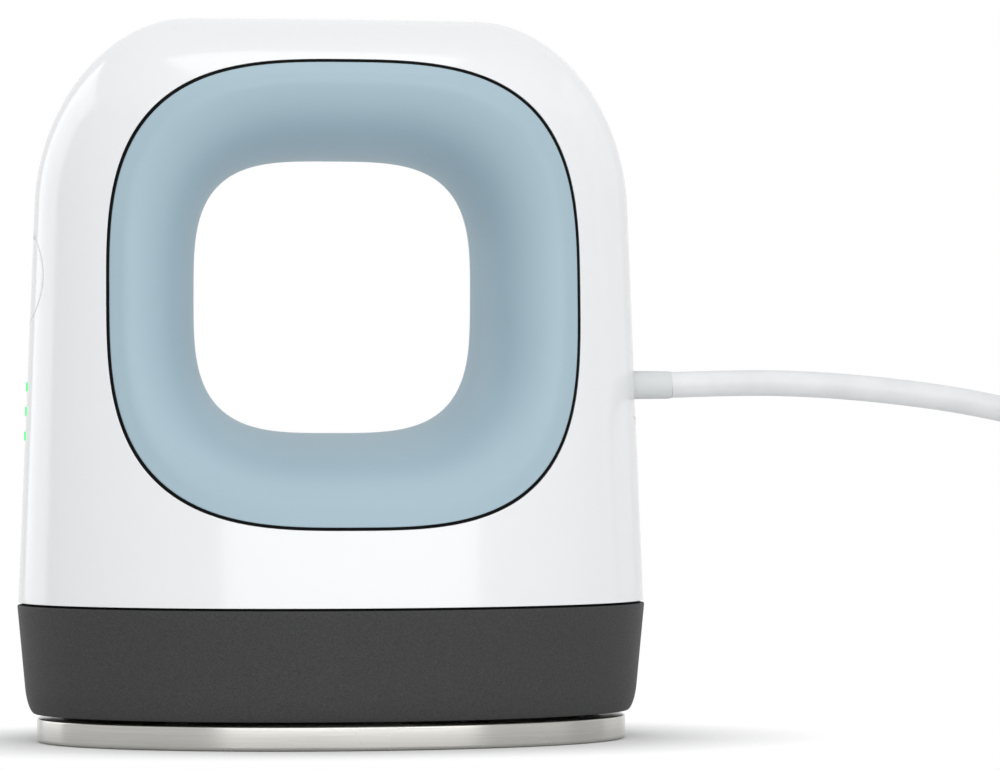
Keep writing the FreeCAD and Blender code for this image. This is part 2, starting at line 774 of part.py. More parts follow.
def terminal_recess(side):
    """Room in the plate's middle for one terminal pin and the bend of its wire."""
    end = size.element_bend_x - size.element_leg
    low_x = end - size.pin_length - 4.2
    low_y = -size.element_bend - size.element_radius - 0.1
    width = size.element_radius + 4.8
    if side > 0:
        low_y = -low_y - width
    low_z = boss_top - size.element_radius - 0.1
    return box((low_x, low_y, low_z), (end - low_x, width, 2 * size.element_radius))


def make_heating_element():
    """Tubular element with a terminal pin at each end."""
    end = size.element_bend_x - size.element_leg
    start = end - size.pin_length
    pins = [
        rod(size.pin_radius, size.pin_length + 1, (start, size.element_bend * j, boss_top), "x")
        for j in MIRROR
    ]
    piece("heating_element", fuse(shaped(element_sheath(size.element_radius)), *pins))
    holes = [(x, y, size.small_screw_radius + size.bore_play) for x, y in clamp_spots]
    clamp = sketched_sheet("element_clamp", size.clamp_length, size.clamp_width, size.clamp_sheet, holes)
    place(clamp, (0, 0, clamp_level))
    top = clamp_level + size.clamp_sheet
    screws = [screw((x, y, top), "z", 4.5, small=True, head_before=False) for x, y in clamp_spots]
    piece("clamp_screws", group(*screws))


def make_plate_sensors():
    """Temperature sensor and thermal cut-off, each with a screwed lug on the plate's middle."""
    lug, bore = size.lug_sheet, size.screw_radius + size.bore_play
    (eye_x, eye_y), (foot_x, foot_y) = lug_spots
    bead = rod(1.5, 5.5, (size.sensor_x - 4.5, size.sensor_y, boss_top + 1.5), "x")
    eye = rod(2.4, lug, (eye_x, eye_y, boss_top))
    tongue = box((size.sensor_x, size.sensor_y - 1, boss_top), (3, 2, lug))
    piece("temperature_sensor", cut(fuse(bead, tongue, eye), rod(bore, lug, (eye_x, eye_y, boss_top))))

    axis = boss_top + size.cutoff_radius
    can = rod(size.cutoff_radius, size.cutoff_length, (-size.cutoff_length / 2, size.cutoff_y, axis), "x")
    foot = box((-2, foot_y - 2.2, boss_top), (4, size.cutoff_lug + 2.2, lug))
    piece("thermal_cutoff", cut(fuse(can, foot), rod(bore, lug, (foot_x, foot_y, boss_top))))
    screws = [screw((x, y, boss_top + lug), "z", 3.6, head_before=False) for x, y in lug_spots]
    piece("sensor_screws", group(*screws))


def holes_through(spots, radius, low, high):
    return [rod(radius, high - low + 2, (x, y, low - 1)) for x, y in spots]


def make_insulation():
    """Blanket and shield between the hot plate and the chassis, with their passages."""
    low = blanket_top - size.blanket_thickness
    outline = (size.shield_half_width, size.shield_half_depth, size.shield_fullness)
    blanket = oval_slab(*outline, low, blanket_top)
    passages = holes_through(post_spots, size.post_radius + size.soft_gap, low, blanket_top)
    passages += holes_through(wire_holes, size.wire_hole_radius, low, blanket_top)
    passages += holes_through(clamp_spots, size.small_head_radius + size.soft_gap, low, blanket_top)
    piece("insulation_blanket", cut(shaped(blanket), *passages))

    shield = oval_slab(*outline, size.shield_level, shield_top)
    passages = holes_through(post_spots, size.screw_radius + size.bore_play, size.shield_level, shield_top)
    passages += holes_through(wire_holes, size.wire_hole_radius, size.shield_level, shield_top)
    piece("heat_shield", cut(shaped(shield), *passages))


def make_posts():
    """Posts on the plate, washers above the shield, and the screws down through the tray."""
    length = size.shield_level - boss_top
    stud = size.plate_boss_height - 0.3
    bore = size.screw_radius + size.bore_play
    posts, washers, screws = [], [], []
    for x, y in post_spots:
        body = rod(size.post_radius, length, (x, y, boss_top))
        thread = rod(size.screw_radius, stud, (x, y, boss_top - stud))
        posts.append(cut(fuse(body, thread), rod(bore, length - 1, (x, y, boss_top + 1))))
        rise = size.ledge_top - shield_top
        washer = rod(size.post_radius, rise, (x, y, shield_top))
        washers.append(cut(washer, rod(bore, rise, (x, y, shield_top))))
        screws.append(screw((x, y, tray_top), "z", 8.0, head_before=False))
    piece("plate_standoffs", group(*posts))
    piece("standoff_washers", group(*washers))
    piece("standoff_screws", group(*screws))


# Skirt, gasket and chassis tray


def skirt_half(half, level, inset):
    """Half width or depth of the skirt at a level: a leaning side and a rounded foot."""
    leaning = half + size.skirt_proud - size.skirt_taper * (size.skirt_top - level) - inset
    start = size.skirt_bottom + size.skirt_foot_height
    share = max(0.0, (start - level) / size.skirt_foot_height)
    return leaning - size.skirt_foot_round * (1 - math.sqrt(max(0.0, 1 - min(1.0, share) ** 2)))


def skirt_form(inset, low, high, sections):
    wires = []
    for k in range(sections):
        level = low + (high - low) * (1 - math.cos(math.pi / 2 * k / (sections - 1)))
        inside = max(level, float(size.skirt_bottom))
        half_x = skirt_half(size.casing_half_width, inside, inset)
        half_y = skirt_half(size.casing_half_depth, inside, inset)
        wires.append(flat_oval(half_x, half_y, size.plan_fullness, level))
    return Part.makeLoft(wires, True, False)


def inner_half(half):
    """Half width or depth of the skirt's inside at the tray's seat."""
    lean = size.skirt_taper * (size.skirt_top - size.ledge_top)
    return half + size.skirt_proud - lean - size.skirt_wall


inside_x = inner_half(size.casing_half_width)
inside_y = inner_half(size.casing_half_depth)


def make_skirt():
    """Heat-resistant band with an inward seat for the chassis tray."""
    low, high = float(size.skirt_bottom), float(size.skirt_top)
    outer = skirt_form(0.0, low, high, 9)
    straight = size.skirt_wall + size.skirt_foot_round * 0.2
    hollow = Part.makeLoft(
        [
            flat_oval(
                skirt_half(size.casing_half_width, max(z, low + size.skirt_foot_height), straight),
                skirt_half(size.casing_half_depth, max(z, low + size.skirt_foot_height), straight),
                size.plan_fullness,
                z,
            )
            for z in (low - 1, low + float(size.skirt_foot_height), size.ledge_top - size.ledge_depth)
        ],
        True,
        True,
    )
    upper = oval_slab(inside_x, inside_y, size.plan_fullness, size.ledge_top, high + 1)
    mouth = oval_slab(
        inside_x - size.ledge_width,
        inside_y - size.ledge_width,
        size.plan_fullness,
        size.ledge_top - size.ledge_depth - 1,
        size.ledge_top + 1,
    )
    bores = holes_through(
        base_spots, size.screw_radius + size.bore_play, size.ledge_top - size.ledge_depth, size.ledge_top
    )
    piece("base_skirt", cut(shaped(outer), shaped(hollow), shaped(upper), shaped(mouth), *bores))

    gasket = oval_band(
        size.casing_half_width - size.gasket_inset,
        size.casing_half_depth - size.gasket_inset,
        size.plan_fullness,
        size.skirt_top,
        size.seam_height,
        size.gasket_width,
    )
    piece("seam_gasket", shaped(gasket))


def make_tray():
    """Chassis tray: it rests on the skirt's seat and carries the posts and the board."""
    play = size.tray_play
    slab = oval_slab(inside_x - play, inside_y - play, size.plan_fullness, size.ledge_top, tray_top)
    bosses = [rod(size.board_boss_radius, size.board_rise, (x, y, tray_top)) for x, y in board_spots]
    wide = size.screw_radius + size.bore_play
    narrow = size.small_screw_radius + size.bore_play
    bores = holes_through(post_spots + base_spots, wide, size.ledge_top, tray_top)
    bores += holes_through(wire_holes, size.wire_hole_radius, size.ledge_top, tray_top)
    bores += [rod(narrow, size.board_rise, (x, y, tray_top)) for x, y in board_spots]
    piece("chassis_tray", cut(fuse(shaped(slab), *bosses), *bores))
    seat = size.ledge_top - size.ledge_depth
    screws = [screw((x, y, seat), "z", 9.0) for x, y in base_spots]
    piece("casing_base_screws", group(*screws))


# Casing halves


def boss_reach(x, height):
    """Half length of a casing screw's boss, which ends under the grip lining."""
    return casing_face(float(x), float(height)) - float(size.boss_set_back)


def make_casing():
    """Two hollow halves that meet on the parting plane. Each has a seat for the grip lining,
    bosses for the screws, half a collar for the button and half a socket for the cord."""
    form = shaped(casing_form(), "CasingForm")
    hollow = shaped(casing_form(float(size.casing_wall), float(size.seam_height) - 1), "CasingHollow")
    wall = cut(form, hollow, shaped(opening_prism(), "Opening"))
    seat_top = float(size.grip_wall + size.seat_gap)
    seat = square_ring(
        -float(size.ledge_root), float(size.ledge_reach), seat_top, seat_top + float(size.ledge_thickness)
    )
    seats = [shaped(seat), shaped(rear_of(seat))]
    bosses = [
        rod(size.casing_boss_radius, 2 * boss_reach(x, z), (x, -boss_reach(x, z), z), "y")
        for x, z in casing_spots
    ]
    foot = tray_top
    bosses += [rod(size.base_boss_radius, size.base_boss_height, (x, y, foot)) for x, y in base_spots]
    ribs = [boss_rib(i, j) for i, j in CORNERS]
    collar = rod(
        size.button_radius + size.button_play + size.button_flange + size.collar_wall,
        size.button_seat + size.button_flange + 1,
        (-button_side - 1, 0, size.button_height),
        "x",
    )
    socket_start = (cord_side - size.socket_depth, 0, size.cord_height)
    socket = rod(size.socket_radius, size.socket_depth + 1, socket_start, "x")
    reach = button_side + side_board_x + 1
    board_bosses = [
        rod(size.side_boss_radius, reach, (-button_side - 1, size.side_screw_y, z), "x")
        for z in (size.side_screw_low, size.side_screw_high)
    ]
    inward = common(shaped(casing_form(), "CasingTrim"), fuse(collar, socket, *board_bosses, *ribs))
    saddle = make_saddle()
    body = fuse(wall, *seats, *bosses, inward, saddle)

    bore = size.screw_radius + size.bore_play
    small = size.small_screw_radius + size.bore_play
    inside = size.button_radius + size.button_play
    neck = size.relief_neck_radius + size.relief_play
    neck_start = (cord_side - size.socket_depth - 1, 0, size.cord_height)
    depth = size.casing_half_depth
    tools = [
        rod(bore, 2 * depth, (x, -boss_reach(x, z) + 2, z), "y") for x, z in casing_spots
    ]
    tools += [rod(bore, size.base_boss_height - 1.5, (x, y, foot)) for x, y in base_spots]
    tools += [
        rod(inside, size.button_seat + 3, (-button_side - 2, 0, size.button_height), "x"),
        rod(inside + size.button_flange, 3, (size.button_seat - button_side, 0, size.button_height), "x"),
        rod(neck, size.socket_depth + 2, neck_start, "x"),
        dish(),
    ]
    tools += [
        rod(small, 4.5, (side_board_x - 4.5, size.side_screw_y, z), "x")
        for z in (size.side_screw_low, size.side_screw_high)
    ]
    tools += [
        rod(size.lamp_radius + size.lamp_play, 6, (-casing_side(z) - 2, 0, z), "x") for z in lamp_heights()
    ]
    tools += [
        rod(small, 8, (clamp_middle(), 0, size.cord_height + size.cord_clamp_screw * j), "y") for j in MIRROR
    ]
    casing = cut(body, *tools)
    reach, tall = 2 * size.casing_half_width, size.casing_top + 10
    front_side = box((-reach, -reach, 0), (2 * reach, reach - size.half_gap, tall))
    rear_side = box((-reach, size.half_gap, 0), (2 * reach, reach - size.half_gap, tall))
    piece("front_shell", common(casing, front_side))
    heads = [
        rod(size.screw_head_radius + 0.2, reach, (x, head_level(x, z), z), "y") for x, z in casing_spots
    ]
    piece("rear_shell", cut(common(casing, rear_side), *heads))
    screws = [
        screw((x, head_level(x, z), z), "y", head_level(x, z) + 6.0, head_before=False)
        for x, z in casing_spots
    ]
    piece("casing_screws", group(*screws))


def boss_rib(side, end):
    """Rib that joins one base screw's boss to the casing's wall above the skirt."""
    low = size.seam_height
    x = size.base_screw_x * side - 1
    y = size.base_screw_y if end > 0 else -size.casing_half_depth
    return box((x, y, low), (2, size.casing_half_depth - size.base_screw_y, foot_height() - low))


def foot_height():
    """Upper end of the base screws' bosses."""
    return tray_top + size.base_boss_height


def head_level(x, height):
    """Bearing face of a casing screw's head, sunk in the rear boss."""
    return boss_reach(x, height) - float(size.screw_head_height) - 0.2


def lamp_heights():
    return [size.lamp_low + size.lamp_pitch * k for k in range(3)]


def dish():
    """The ball that scoops the dish round the cord's exit."""
    radius = (size.dish_radius * size.dish_radius + size.dish_depth * size.dish_depth) / (2 * size.dish_depth)
    return ball(radius, (cord_side - size.dish_depth + radius, 0, size.cord_height))


def clamp_middle():
    """Where the cord clamp stands, across the strain relief's sleeve."""
    flange_face = cord_side - size.socket_depth - size.relief_flange - size.relief_play
    return flange_face - size.cord_clamp_width / 2 - 0.4


def make_saddle():
    """Rib of the rear half under the sleeve of the strain relief. It ends in the grip's seat."""
    x = clamp_middle() - size.cord_clamp_width / 2
    low = size.cord_height - size.cord_clamp_height / 2
    face = casing_face(float(size.grip_half_width), float(size.cord_height))
    reach = face - float(size.ledge_thickness) - 1.2
    block = box((x, 0, low), (size.cord_clamp_width, reach, size.cord_clamp_height))
    radius = size.relief_sleeve_radius + size.relief_play
    sleeve = rod(radius, size.cord_clamp_width + 2, (x - 1, 0, size.cord_height), "x")
    return cut(block, sleeve)


def make_grip():
    """Front and rear grip lining, and the seal in the joint round each."""
    ring = grip_ring_form()
    piece("front_grip_ring", shaped(ring))
    piece("rear_grip_ring", shaped(rear_of(ring)))
    top, bottom = float(size.seal_recess), float(size.grip_wall)
    seal = square_ring(float(size.seal_play), float(size.grip_gap), top, bottom)
    piece("grip_seals", group(shaped(seal), shaped(rear_of(seal))))


# Power button, switch, lamps and side board


def make_button():
    """Cap with a flange behind the collar, the plunger it pushes, and the snap dome that
    pushes both back. The cap's face is a part of the casing's side."""
    seat = size.button_seat - button_side
    cap = common(
        shaped(casing_form(), "ButtonForm"),
        rod(size.button_radius, size.button_seat + 3.5, (-button_side - 3, 0, size.button_height), "x"),
    )
    flange = rod(
        size.button_radius + size.button_flange,
        size.button_flange,
        (seat + size.half_gap, 0, size.button_height),
        "x",
    )
    piece("power_button", fuse(cap, flange))

    start = seat + size.half_gap + size.button_flange + 0.02
    length = switch_x - start + size.plunger_grip
    piece("switch_plunger", rod(size.plunger_radius, length, (start, 0, size.button_height), "x"))
    half = size.switch_width / 2
    extent = (size.switch_height, size.switch_width, size.switch_width)
    block = box((switch_x, -half, size.button_height - half), extent)
    bore = rod(size.plunger_radius + 0.1, size.plunger_grip + 0.02, (switch_x, 0, size.button_height), "x")
    room_x = switch_x + size.plunger_grip
    room_depth = size.button_travel + size.dome_thickness + 0.3
    room = rod(size.plunger_radius + 0.6, room_depth, (room_x, 0, size.button_height), "x")
    piece("switch_housing", cut(block, bore, room))

    # the dome: a thin cap of a ball, its rim on the floor of the room and its top at the plunger
    top_x = start + length + 0.02
    rim_radius = size.plunger_radius + 0.4
    rise = room_x + room_depth - top_x
    radius = (rim_radius * rim_radius + rise * rise) / (2 * rise)
    middle = (top_x + radius, 0, size.button_height)
    cap_room = rod(rim_radius, rise, (top_x, 0, size.button_height), "x")
    skin = cut(ball(radius, middle), ball(radius - size.dome_thickness, middle))
    piece("switch_dome", common(skin, cap_room))


def make_side_board():
    """Upright board behind the left side, its screws, the lamps and the light guide."""
    middle = size.side_board_bottom + size.side_board_length / 2
    holes = [
        (middle - z, size.side_screw_y, size.small_screw_radius + size.bore_play)
        for z in (size.side_screw_low, size.side_screw_high)
    ]
    board = sketched_sheet(
        "side_board", size.side_board_length, size.side_board_width, size.side_board_sheet, holes, 1.0
    )
    place(board, (side_board_x, 0, middle), "x")
    screws = [
        screw((board_back_x, size.side_screw_y, z), "x", 5.5, small=True, head_before=False)
        for z in (size.side_screw_low, size.side_screw_high)
    ]
    piece("side_board_screws", group(*screws))

    half = size.lamp_size / 2
    lamps = [
        box((side_board_x - size.lamp_size, -half, z - half), (size.lamp_size, size.lamp_size, size.lamp_size))
        for z in lamp_heights()
    ]
    piece("indicator_lamps", group(*lamps))

    bar_x = size.casing_wall + 0.3 - casing_side(size.lamp_low + 2 * size.lamp_pitch)
    bar = box((bar_x, -2, size.lamp_low - 2), (size.guide_bar, 4, 2 * size.lamp_pitch + 4))
    pins = []
    for z in lamp_heights():
        tip = -casing_side(z) - size.lamp_proud
        pins.append(rod(size.lamp_radius, bar_x - tip + 0.5, (tip, 0, z), "x"))
        back = side_board_x - size.lamp_size - 0.1
        pins.append(rod(size.lamp_radius + 0.3, back - bar_x, (bar_x, 0, z), "x"))
    piece("light_guide", fuse(bar, *pins))


# Control board and what is on it


def on_board(label, x, y, length, width, height, corner=0.5):
    """A block-shaped component on the control board, with rounded upright edges."""
    part = sketched_sheet(label, length, width, height, corner=corner)
    return place(part, (x, y, board_top))


def make_control_board():
    holes = [(x, y, size.small_screw_radius + size.bore_play) for x, y in board_spots]
    board = sketched_sheet(
        "control_board", size.board_length, size.board_width, size.board_sheet, holes, size.board_corner
    )
    place(board, (0, 0, board_level))
    screws = [screw((x, y, board_top), "z", 4.6, small=True, head_before=False) for x, y in board_spots]
    piece("board_screws", group(*screws))
    on_board("power_relay", 4, -6, 20, 10, 12.5)
    on_board("supply_transformer", 1, 6, 14, 11, 11, 1.0)
    on_board("filter_capacitor", 26, -4.5, 6, 13, 10)
    on_board("terminal_block", 26.4, 7, 7, 8, 10)
    on_board("processor_chip", -12, 6, 7, 7, 1, 0.2)
    on_board("tilt_sensor", -20, 2, 3, 3, 1, 0.2)
    on_board("ribbon_socket", -27.2, 0, 5.4, 6.8, 6, 0.4)
    piece("supply_capacitor", rod(4, 12, (13, 6, board_top)))
    piece("mains_fuse", rod(4.2, 8, (18.5, -1, board_top)))
    piece("sounder", cut(rod(4.5, 5, (-12.5, -6.5, board_top)), rod(0.9, 1, (-12.5, -6.5, board_top + 4))))


# Wires


def make_wires():
    """Inner wires from plate, cut-off, sensor and cord to the boards."""
    under = board_level
    pin_end = size.element_bend_x - size.element_leg - size.pin_length
    heater = [
        wire(
            [
                (pin_end, size.element_bend * j, boss_top),
                (-size.heater_wire_x, size.element_bend * j, boss_top),
                (-size.heater_wire_x, size.heater_wire_y * j, boss_top + 2.3),
                (-size.heater_wire_x, size.heater_wire_y * j, under),
            ]
        )
        for j in MIRROR
    ]
    piece("heater_wires", group(*heater))

    level = boss_top + 1.5
    sensor = wire(
        [
            (size.sensor_x - 4.5, size.sensor_y, level),
            (size.sensor_wire_x, size.sensor_y, level),
            (size.sensor_wire_x, size.side_wire_y, level + 1.0),
            (size.sensor_wire_x, size.side_wire_y, under),
        ],
        size.thin_wire_radius,
    )
    piece("sensor_wire", sensor)
    level = boss_top + size.cutoff_radius
    cutoff = [
        wire(
            [
                (size.cutoff_length / 2 * i, size.cutoff_y, level),
                (size.cutoff_wire_x * i, size.cutoff_y, level),
                (size.cutoff_wire_x * i, -size.side_wire_y, level + 0.8),
                (size.cutoff_wire_x * i, -size.side_wire_y, under),
            ],
            size.thin_wire_radius,
        )
        for i in MIRROR
    ]
    piece("cutoff_wires", group(*cutoff))

    start, drop = sleeve_end(), 28.5
    mains = [
        wire(
            [
                (start, 1.1 * j, size.cord_height),
                (start - 3.2, 1.1 * j, size.cord_height),
                (drop, 7 + 1.9 * j, 38.0),
                (drop, 7 + 1.9 * j, board_top + 10),
            ]
        )
        for j in MIRROR
    ]
    piece("mains_wires", group(*mains))
    make_ribbon()


def make_ribbon():
    """Flat cable from the foot of the side board to its socket on the control board."""
    foot = size.side_board_bottom + 2.5
    line = [
        (board_back_x, 0, foot),
        (board_back_x + 4.4, 0, foot),
        (board_back_x + 4.4, 0, board_top + 6),
    ]
    path, radii = rounded_path(line, cord_bend)
    half, low = 2.6, float(foot) - 0.35
    corners = [(-half, low), (half, low), (half, low + 0.7), (-half, low + 0.7), (-half, low)]
    profile = Part.makePolygon([Vector(float(board_back_x), y, z) for y, z in corners])
    piece("button_ribbon", shaped(path.makePipeShell([profile], True, True)))


# Cord, its strain relief and clamp, the put-away coil and the plug


def sleeve_end():
    """Inner end of the strain relief."""
    return cord_side - size.socket_depth - size.relief_play - size.relief_flange - size.relief_sleeve


def boot_tip():
    """Outer end of the strain relief, where the cord begins."""
    return cord_side + size.relief_reach


def make_strain_relief():
    """Moulded relief: sleeve and flange inside, neck in the wall, slim boot outside."""
    z = size.cord_height
    flange_x = cord_side - size.socket_depth - size.relief_play - size.relief_flange
    neck_x = flange_x + size.relief_flange
    neck = size.socket_depth + size.relief_play - size.dish_depth
    boot_x = neck_x + neck
    boot = boot_tip() - boot_x
    piece(
        "strain_relief",
        fuse(
            rod(size.relief_sleeve_radius, size.relief_sleeve, (sleeve_end(), 0, z), "x"),
            rod(size.relief_flange_radius, size.relief_flange, (flange_x, 0, z), "x"),
            rod(size.relief_neck_radius, neck, (neck_x, 0, z), "x"),
            cone(size.relief_root_radius, size.cord_radius + 0.02, boot, (boot_x, 0, z), "x"),
        ),
    )
    x = clamp_middle() - size.cord_clamp_width / 2
    low = z - size.cord_clamp_height / 2
    extent = (size.cord_clamp_width, size.cord_clamp_depth, size.cord_clamp_height)
    bar = box((x, -size.cord_clamp_depth, low), extent)
    groove = rod(size.relief_sleeve_radius + size.relief_play, size.cord_clamp_width + 2, (x - 1, 0, z), "x")
    spots = [(clamp_middle(), z + size.cord_clamp_screw * j) for j in MIRROR]
    bore = size.small_screw_radius + size.bore_play
    bores = [
        rod(bore, size.cord_clamp_depth + 2, (cx, -size.cord_clamp_depth - 1, cz), "y")
        for cx, cz in spots
    ]
    piece("cord_clamp", cut(bar, groove, *bores))
    screws = [screw((cx, -size.cord_clamp_depth, cz), "y", 10.0, small=True) for cx, cz in spots]
    piece("cord_clamp_screws", group(*screws))


def make_cord():
    """The cord from the boot to the coil, the coil's outer shape, and the lead to the plug."""
    outer = size.coil_middle_radius + (size.coil_columns - 1) * size.cord_radius
    top = (2 * size.coil_layers - 1) * size.cord_radius
    route = [
        (boot_tip(), 0, size.cord_height),
        (58.8, 0.0, 50.0),
        (69.5, 0.1, 49.7),
        (80.2, 0.3, 48.8),
        (91.5, 0.8, 47.3),
        (104.0, 2.2, 44.6),
        (117.0, 5.0, 40.3),
        (130.3, 9.6, 34.0),
        (142.7, 15.2, 26.8),
        (153.5, 20.4, 20.2),
        (163.0, 24.4, 15.8),
        (size.coil_x, outer, top + 0.3),
    ]
    solid, path, radii = tube(route, size.cord_radius, cord_bend)
    print("cord arcs, mm:", [round(r, 1) for r in radii])
    swept = math.pi * size.cord_radius**2 * path.Length
    print("cord volume over section times length:", round(solid.Volume / swept, 4))
    piece("mains_cord", shaped(solid))

    inner = size.coil_middle_radius - size.coil_columns * size.cord_radius
    width = 2 * size.coil_columns * size.cord_radius
    tall = 2 * size.coil_layers * size.cord_radius
    section = Part.makePolygon(
        [
            Vector(float(inner), 0, 0),
            Vector(float(inner + width), 0, 0),
            Vector(float(inner + width), 0, float(tall)),
            Vector(float(inner), 0, float(tall)),
            Vector(float(inner), 0, 0),
        ]
    )
    ring = Part.Face(section).revolve(Vector(0, 0, 0), Vector(0, 0, 1), 360)
    ring = ring.makeFillet(float(size.cord_radius) * 0.8, ring.Edges)
    coil = piece("cord_coil", shaped(ring))
    coil.Placement = Placement(Vector(float(size.coil_x), 0, 0), Rotation())

    axis_z = size.plug_thickness / 2
    layer_z = 3 * size.cord_radius
    lead = [
        (size.coil_x, -outer, layer_z),
        (size.coil_x - 6, -outer, layer_z),
        (size.plug_rear_x + 6, -outer, axis_z),
        (size.plug_rear_x, -outer, axis_z),
    ]
    solid, path, radii = tube(lead, size.cord_radius, cord_bend)
    print("plug lead arcs, mm:", [round(r, 1) for r in radii])
    piece("plug_lead", shaped(solid))


def make_plug():
    """Two-blade plug that lies on the table beside the coil, blades towards the press."""
    y = -size.coil_middle_radius - (size.coil_columns - 1) * size.cord_radius
    z = size.plug_thickness / 2
    front_x = size.plug_rear_x - size.plug_relief_length
    relief = cone(size.plug_relief_root, size.plug_relief_tail, size.plug_relief_length, (front_x, y, z), "x")
    piece("plug_strain_relief", relief)
    body = sketched_sheet(
        "plug_body", size.plug_length, size.plug_width, size.plug_thickness, corner=size.plug_round
    )
    place(body, (front_x - size.plug_length / 2, y, 0))
    face_x = front_x - size.plug_length
    blades = []
    for j in MIRROR:
        low_y = y + size.blade_spacing / 2 * j - size.blade_thickness / 2
        low = (face_x - size.blade_length, low_y, z - size.blade_width / 2)
        blade = box(low, (size.blade_length, size.blade_thickness, size.blade_width))
        hole = rod(size.blade_hole_radius, size.blade_thickness + 2, (low[0] + 4, low[1] - 1, z), "y")
        blades.append(cut(blade, hole))
    piece("plug_blades", group(*blades))


make_heat_plate()
make_heating_element()
make_plate_sensors()
make_insulation()
make_posts()
make_skirt()
make_tray()
make_casing()
make_grip()
make_button()
make_side_board()
make_control_board()
make_wires()
make_strain_relief()
make_cord()
make_plug()
doc.recompute()

failed = [obj.Label for obj in doc.Objects if "Invalid" in obj.State or "Error" in obj.State]
for label, obj in pieces.items():
    shape = obj.Shape
    if shape.isNull() or not shape.isValid() or not shape.Solids:
        failed.append(label)
if failed:
    raise RuntimeError(f"these objects failed: {sorted(set(failed))}")

os.makedirs("parts", exist_ok=True)
for label, obj in pieces.items():
    obj.Shape.exportStep(f"parts/{label}.step")
    print(f"{label}: {len(obj.Shape.Solids)} solid(s), {obj.Shape.Volume:.1f} mm3")
print(len(pieces), "nodes")
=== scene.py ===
import math

import bpy
import numpy as np
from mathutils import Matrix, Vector


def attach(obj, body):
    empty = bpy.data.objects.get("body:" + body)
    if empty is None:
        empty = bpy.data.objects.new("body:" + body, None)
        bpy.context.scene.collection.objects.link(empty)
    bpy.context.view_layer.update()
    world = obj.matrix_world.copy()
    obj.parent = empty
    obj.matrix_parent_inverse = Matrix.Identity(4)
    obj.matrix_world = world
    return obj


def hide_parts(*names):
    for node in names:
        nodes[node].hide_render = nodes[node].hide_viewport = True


# The looks of a mini handheld heat press: an upright white casing with a pale blue grip round
# an open handle hole, a charcoal skirt and a satin sole plate, with its cord put away in a coil.
# Geometry is written in millimetres and turned into metres when a mesh or curve is made.

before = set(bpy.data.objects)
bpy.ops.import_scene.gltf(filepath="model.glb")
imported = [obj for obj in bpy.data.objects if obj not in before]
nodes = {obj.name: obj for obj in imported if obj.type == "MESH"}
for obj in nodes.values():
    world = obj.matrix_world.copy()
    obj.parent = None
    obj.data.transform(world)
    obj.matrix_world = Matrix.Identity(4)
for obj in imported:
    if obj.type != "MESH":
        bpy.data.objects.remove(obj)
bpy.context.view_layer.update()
MM = 0.001

# camera: place in metres, lens and sensor in millimetres, lean and turn in degrees
CAMERA_PLACE = (-0.07412, -0.67109, 0.04682)
CAMERA_LENS, CAMERA_SENSOR = 173.27, 36.0
CAMERA_LEAN, CAMERA_TURN = 90.234, -8.291

# casing
TOP, SEAM = 100.8, 19.35
HALF_WIDTH, HALF_DEPTH = 43.9, 26.9
SIDE_LEAN, FACE_LEAN = 0.04, 0.071
FULLNESS = 2.0
CORNER_START, CROWN_HALF_WIDTH, CROWN_START = 74.7, 19.9, 85.7
WALL, HALF_GAP = 2.2, 0.05
OPENING_ROUND, BORDER_ROUND = 0.28, 0.15
SHELL_BUNCHING = 0.06

# handle hole and grip lining
GRIP_Z = 61.9
OPENING = (32.7, 32.1, 3.11)
WAIST = (19.65, 19.05, 3.42)
RIM, GRIP_WALL, GRIP_GAP = 2.6, 2.0, 0.42
LIP_CLEARANCE, CREST_START, CREST_END = 0.1, 0.75, 0.955

# skirt
SKIRT_BOTTOM, SKIRT_TOP = 3.9, 19.0
SKIRT_PROUD, SKIRT_TAPER = 0.15, 0.095
FOOT_ROUND, FOOT_HEIGHT, SKIRT_WALL, FOOT_LAND = 1.0, 3.6, 2.4, 0.9

# sole plate
PLATE = (41.3, 24.4, 2.05)
PLATE_THICKNESS, PLATE_ROUND = 3.3, 0.5
BOSS = (37.5, 20.5, 2.35)
BOSS_HEIGHT = 3.2

# button and cord exit
BUTTON_Z, BUTTON_RADIUS, BUTTON_PLAY = 64.2, 5.75, 0.2
BUTTON_SEAT, BUTTON_FLANGE, BUTTON_HOLE_DEPTH = 2.6, 1.0, 2.0
CORD_Z, CORD_RADIUS = 49.6, 1.85
DISH_RADIUS, DISH_DEPTH = 5.45, 1.6
NECK_RADIUS, NECK_PLAY, NECK_HOLE_DEPTH = 2.5, 0.1, 1.2
SOCKET_DEPTH, SLEEVE_RADIUS, SLEEVE = 6.2, 2.8, 5.0
FLANGE_RADIUS, FLANGE = 4.6, 1.2
BOOT_ROOT, BOOT_REACH = 2.0, 5.4

# coil: turns, and angles in degrees; its slots are layer and column, in winding order
COIL_X, COIL_RADIUS = 172.0, 22.0
COIL_TURNS, COIL_START, FIRST_CHANGE, CHANGE = 11.5, 90.0, -140.0, 80.0
COIL_SWING, SWING_FULLNESS = 0.56, 0.7
COIL_SLOTS = [
    *((3, 2), (3, 1), (3, 0)),
    *((2, 0), (2, 1), (2, 2)),
    *((0, 2), (0, 1), (0, 0)),
    *((1, 0), (1, 1), (1, 2)),
]

# plug
PLUG_REAR_X, PLUG_RELIEF = 154.0, 16.0
PLUG_LENGTH, PLUG_WIDTH, PLUG_THICKNESS = 26.0, 22.0, 15.0
PLUG_SQUARENESS, PLUG_ROUND, PLUG_FRONT_ROUND = 5.0, 4.0, 1.2
PLUG_RIBS, RIB_PITCH, RELIEF_RADIUS, RELIEF_END = 5, 2.9, 3.95, 2.35

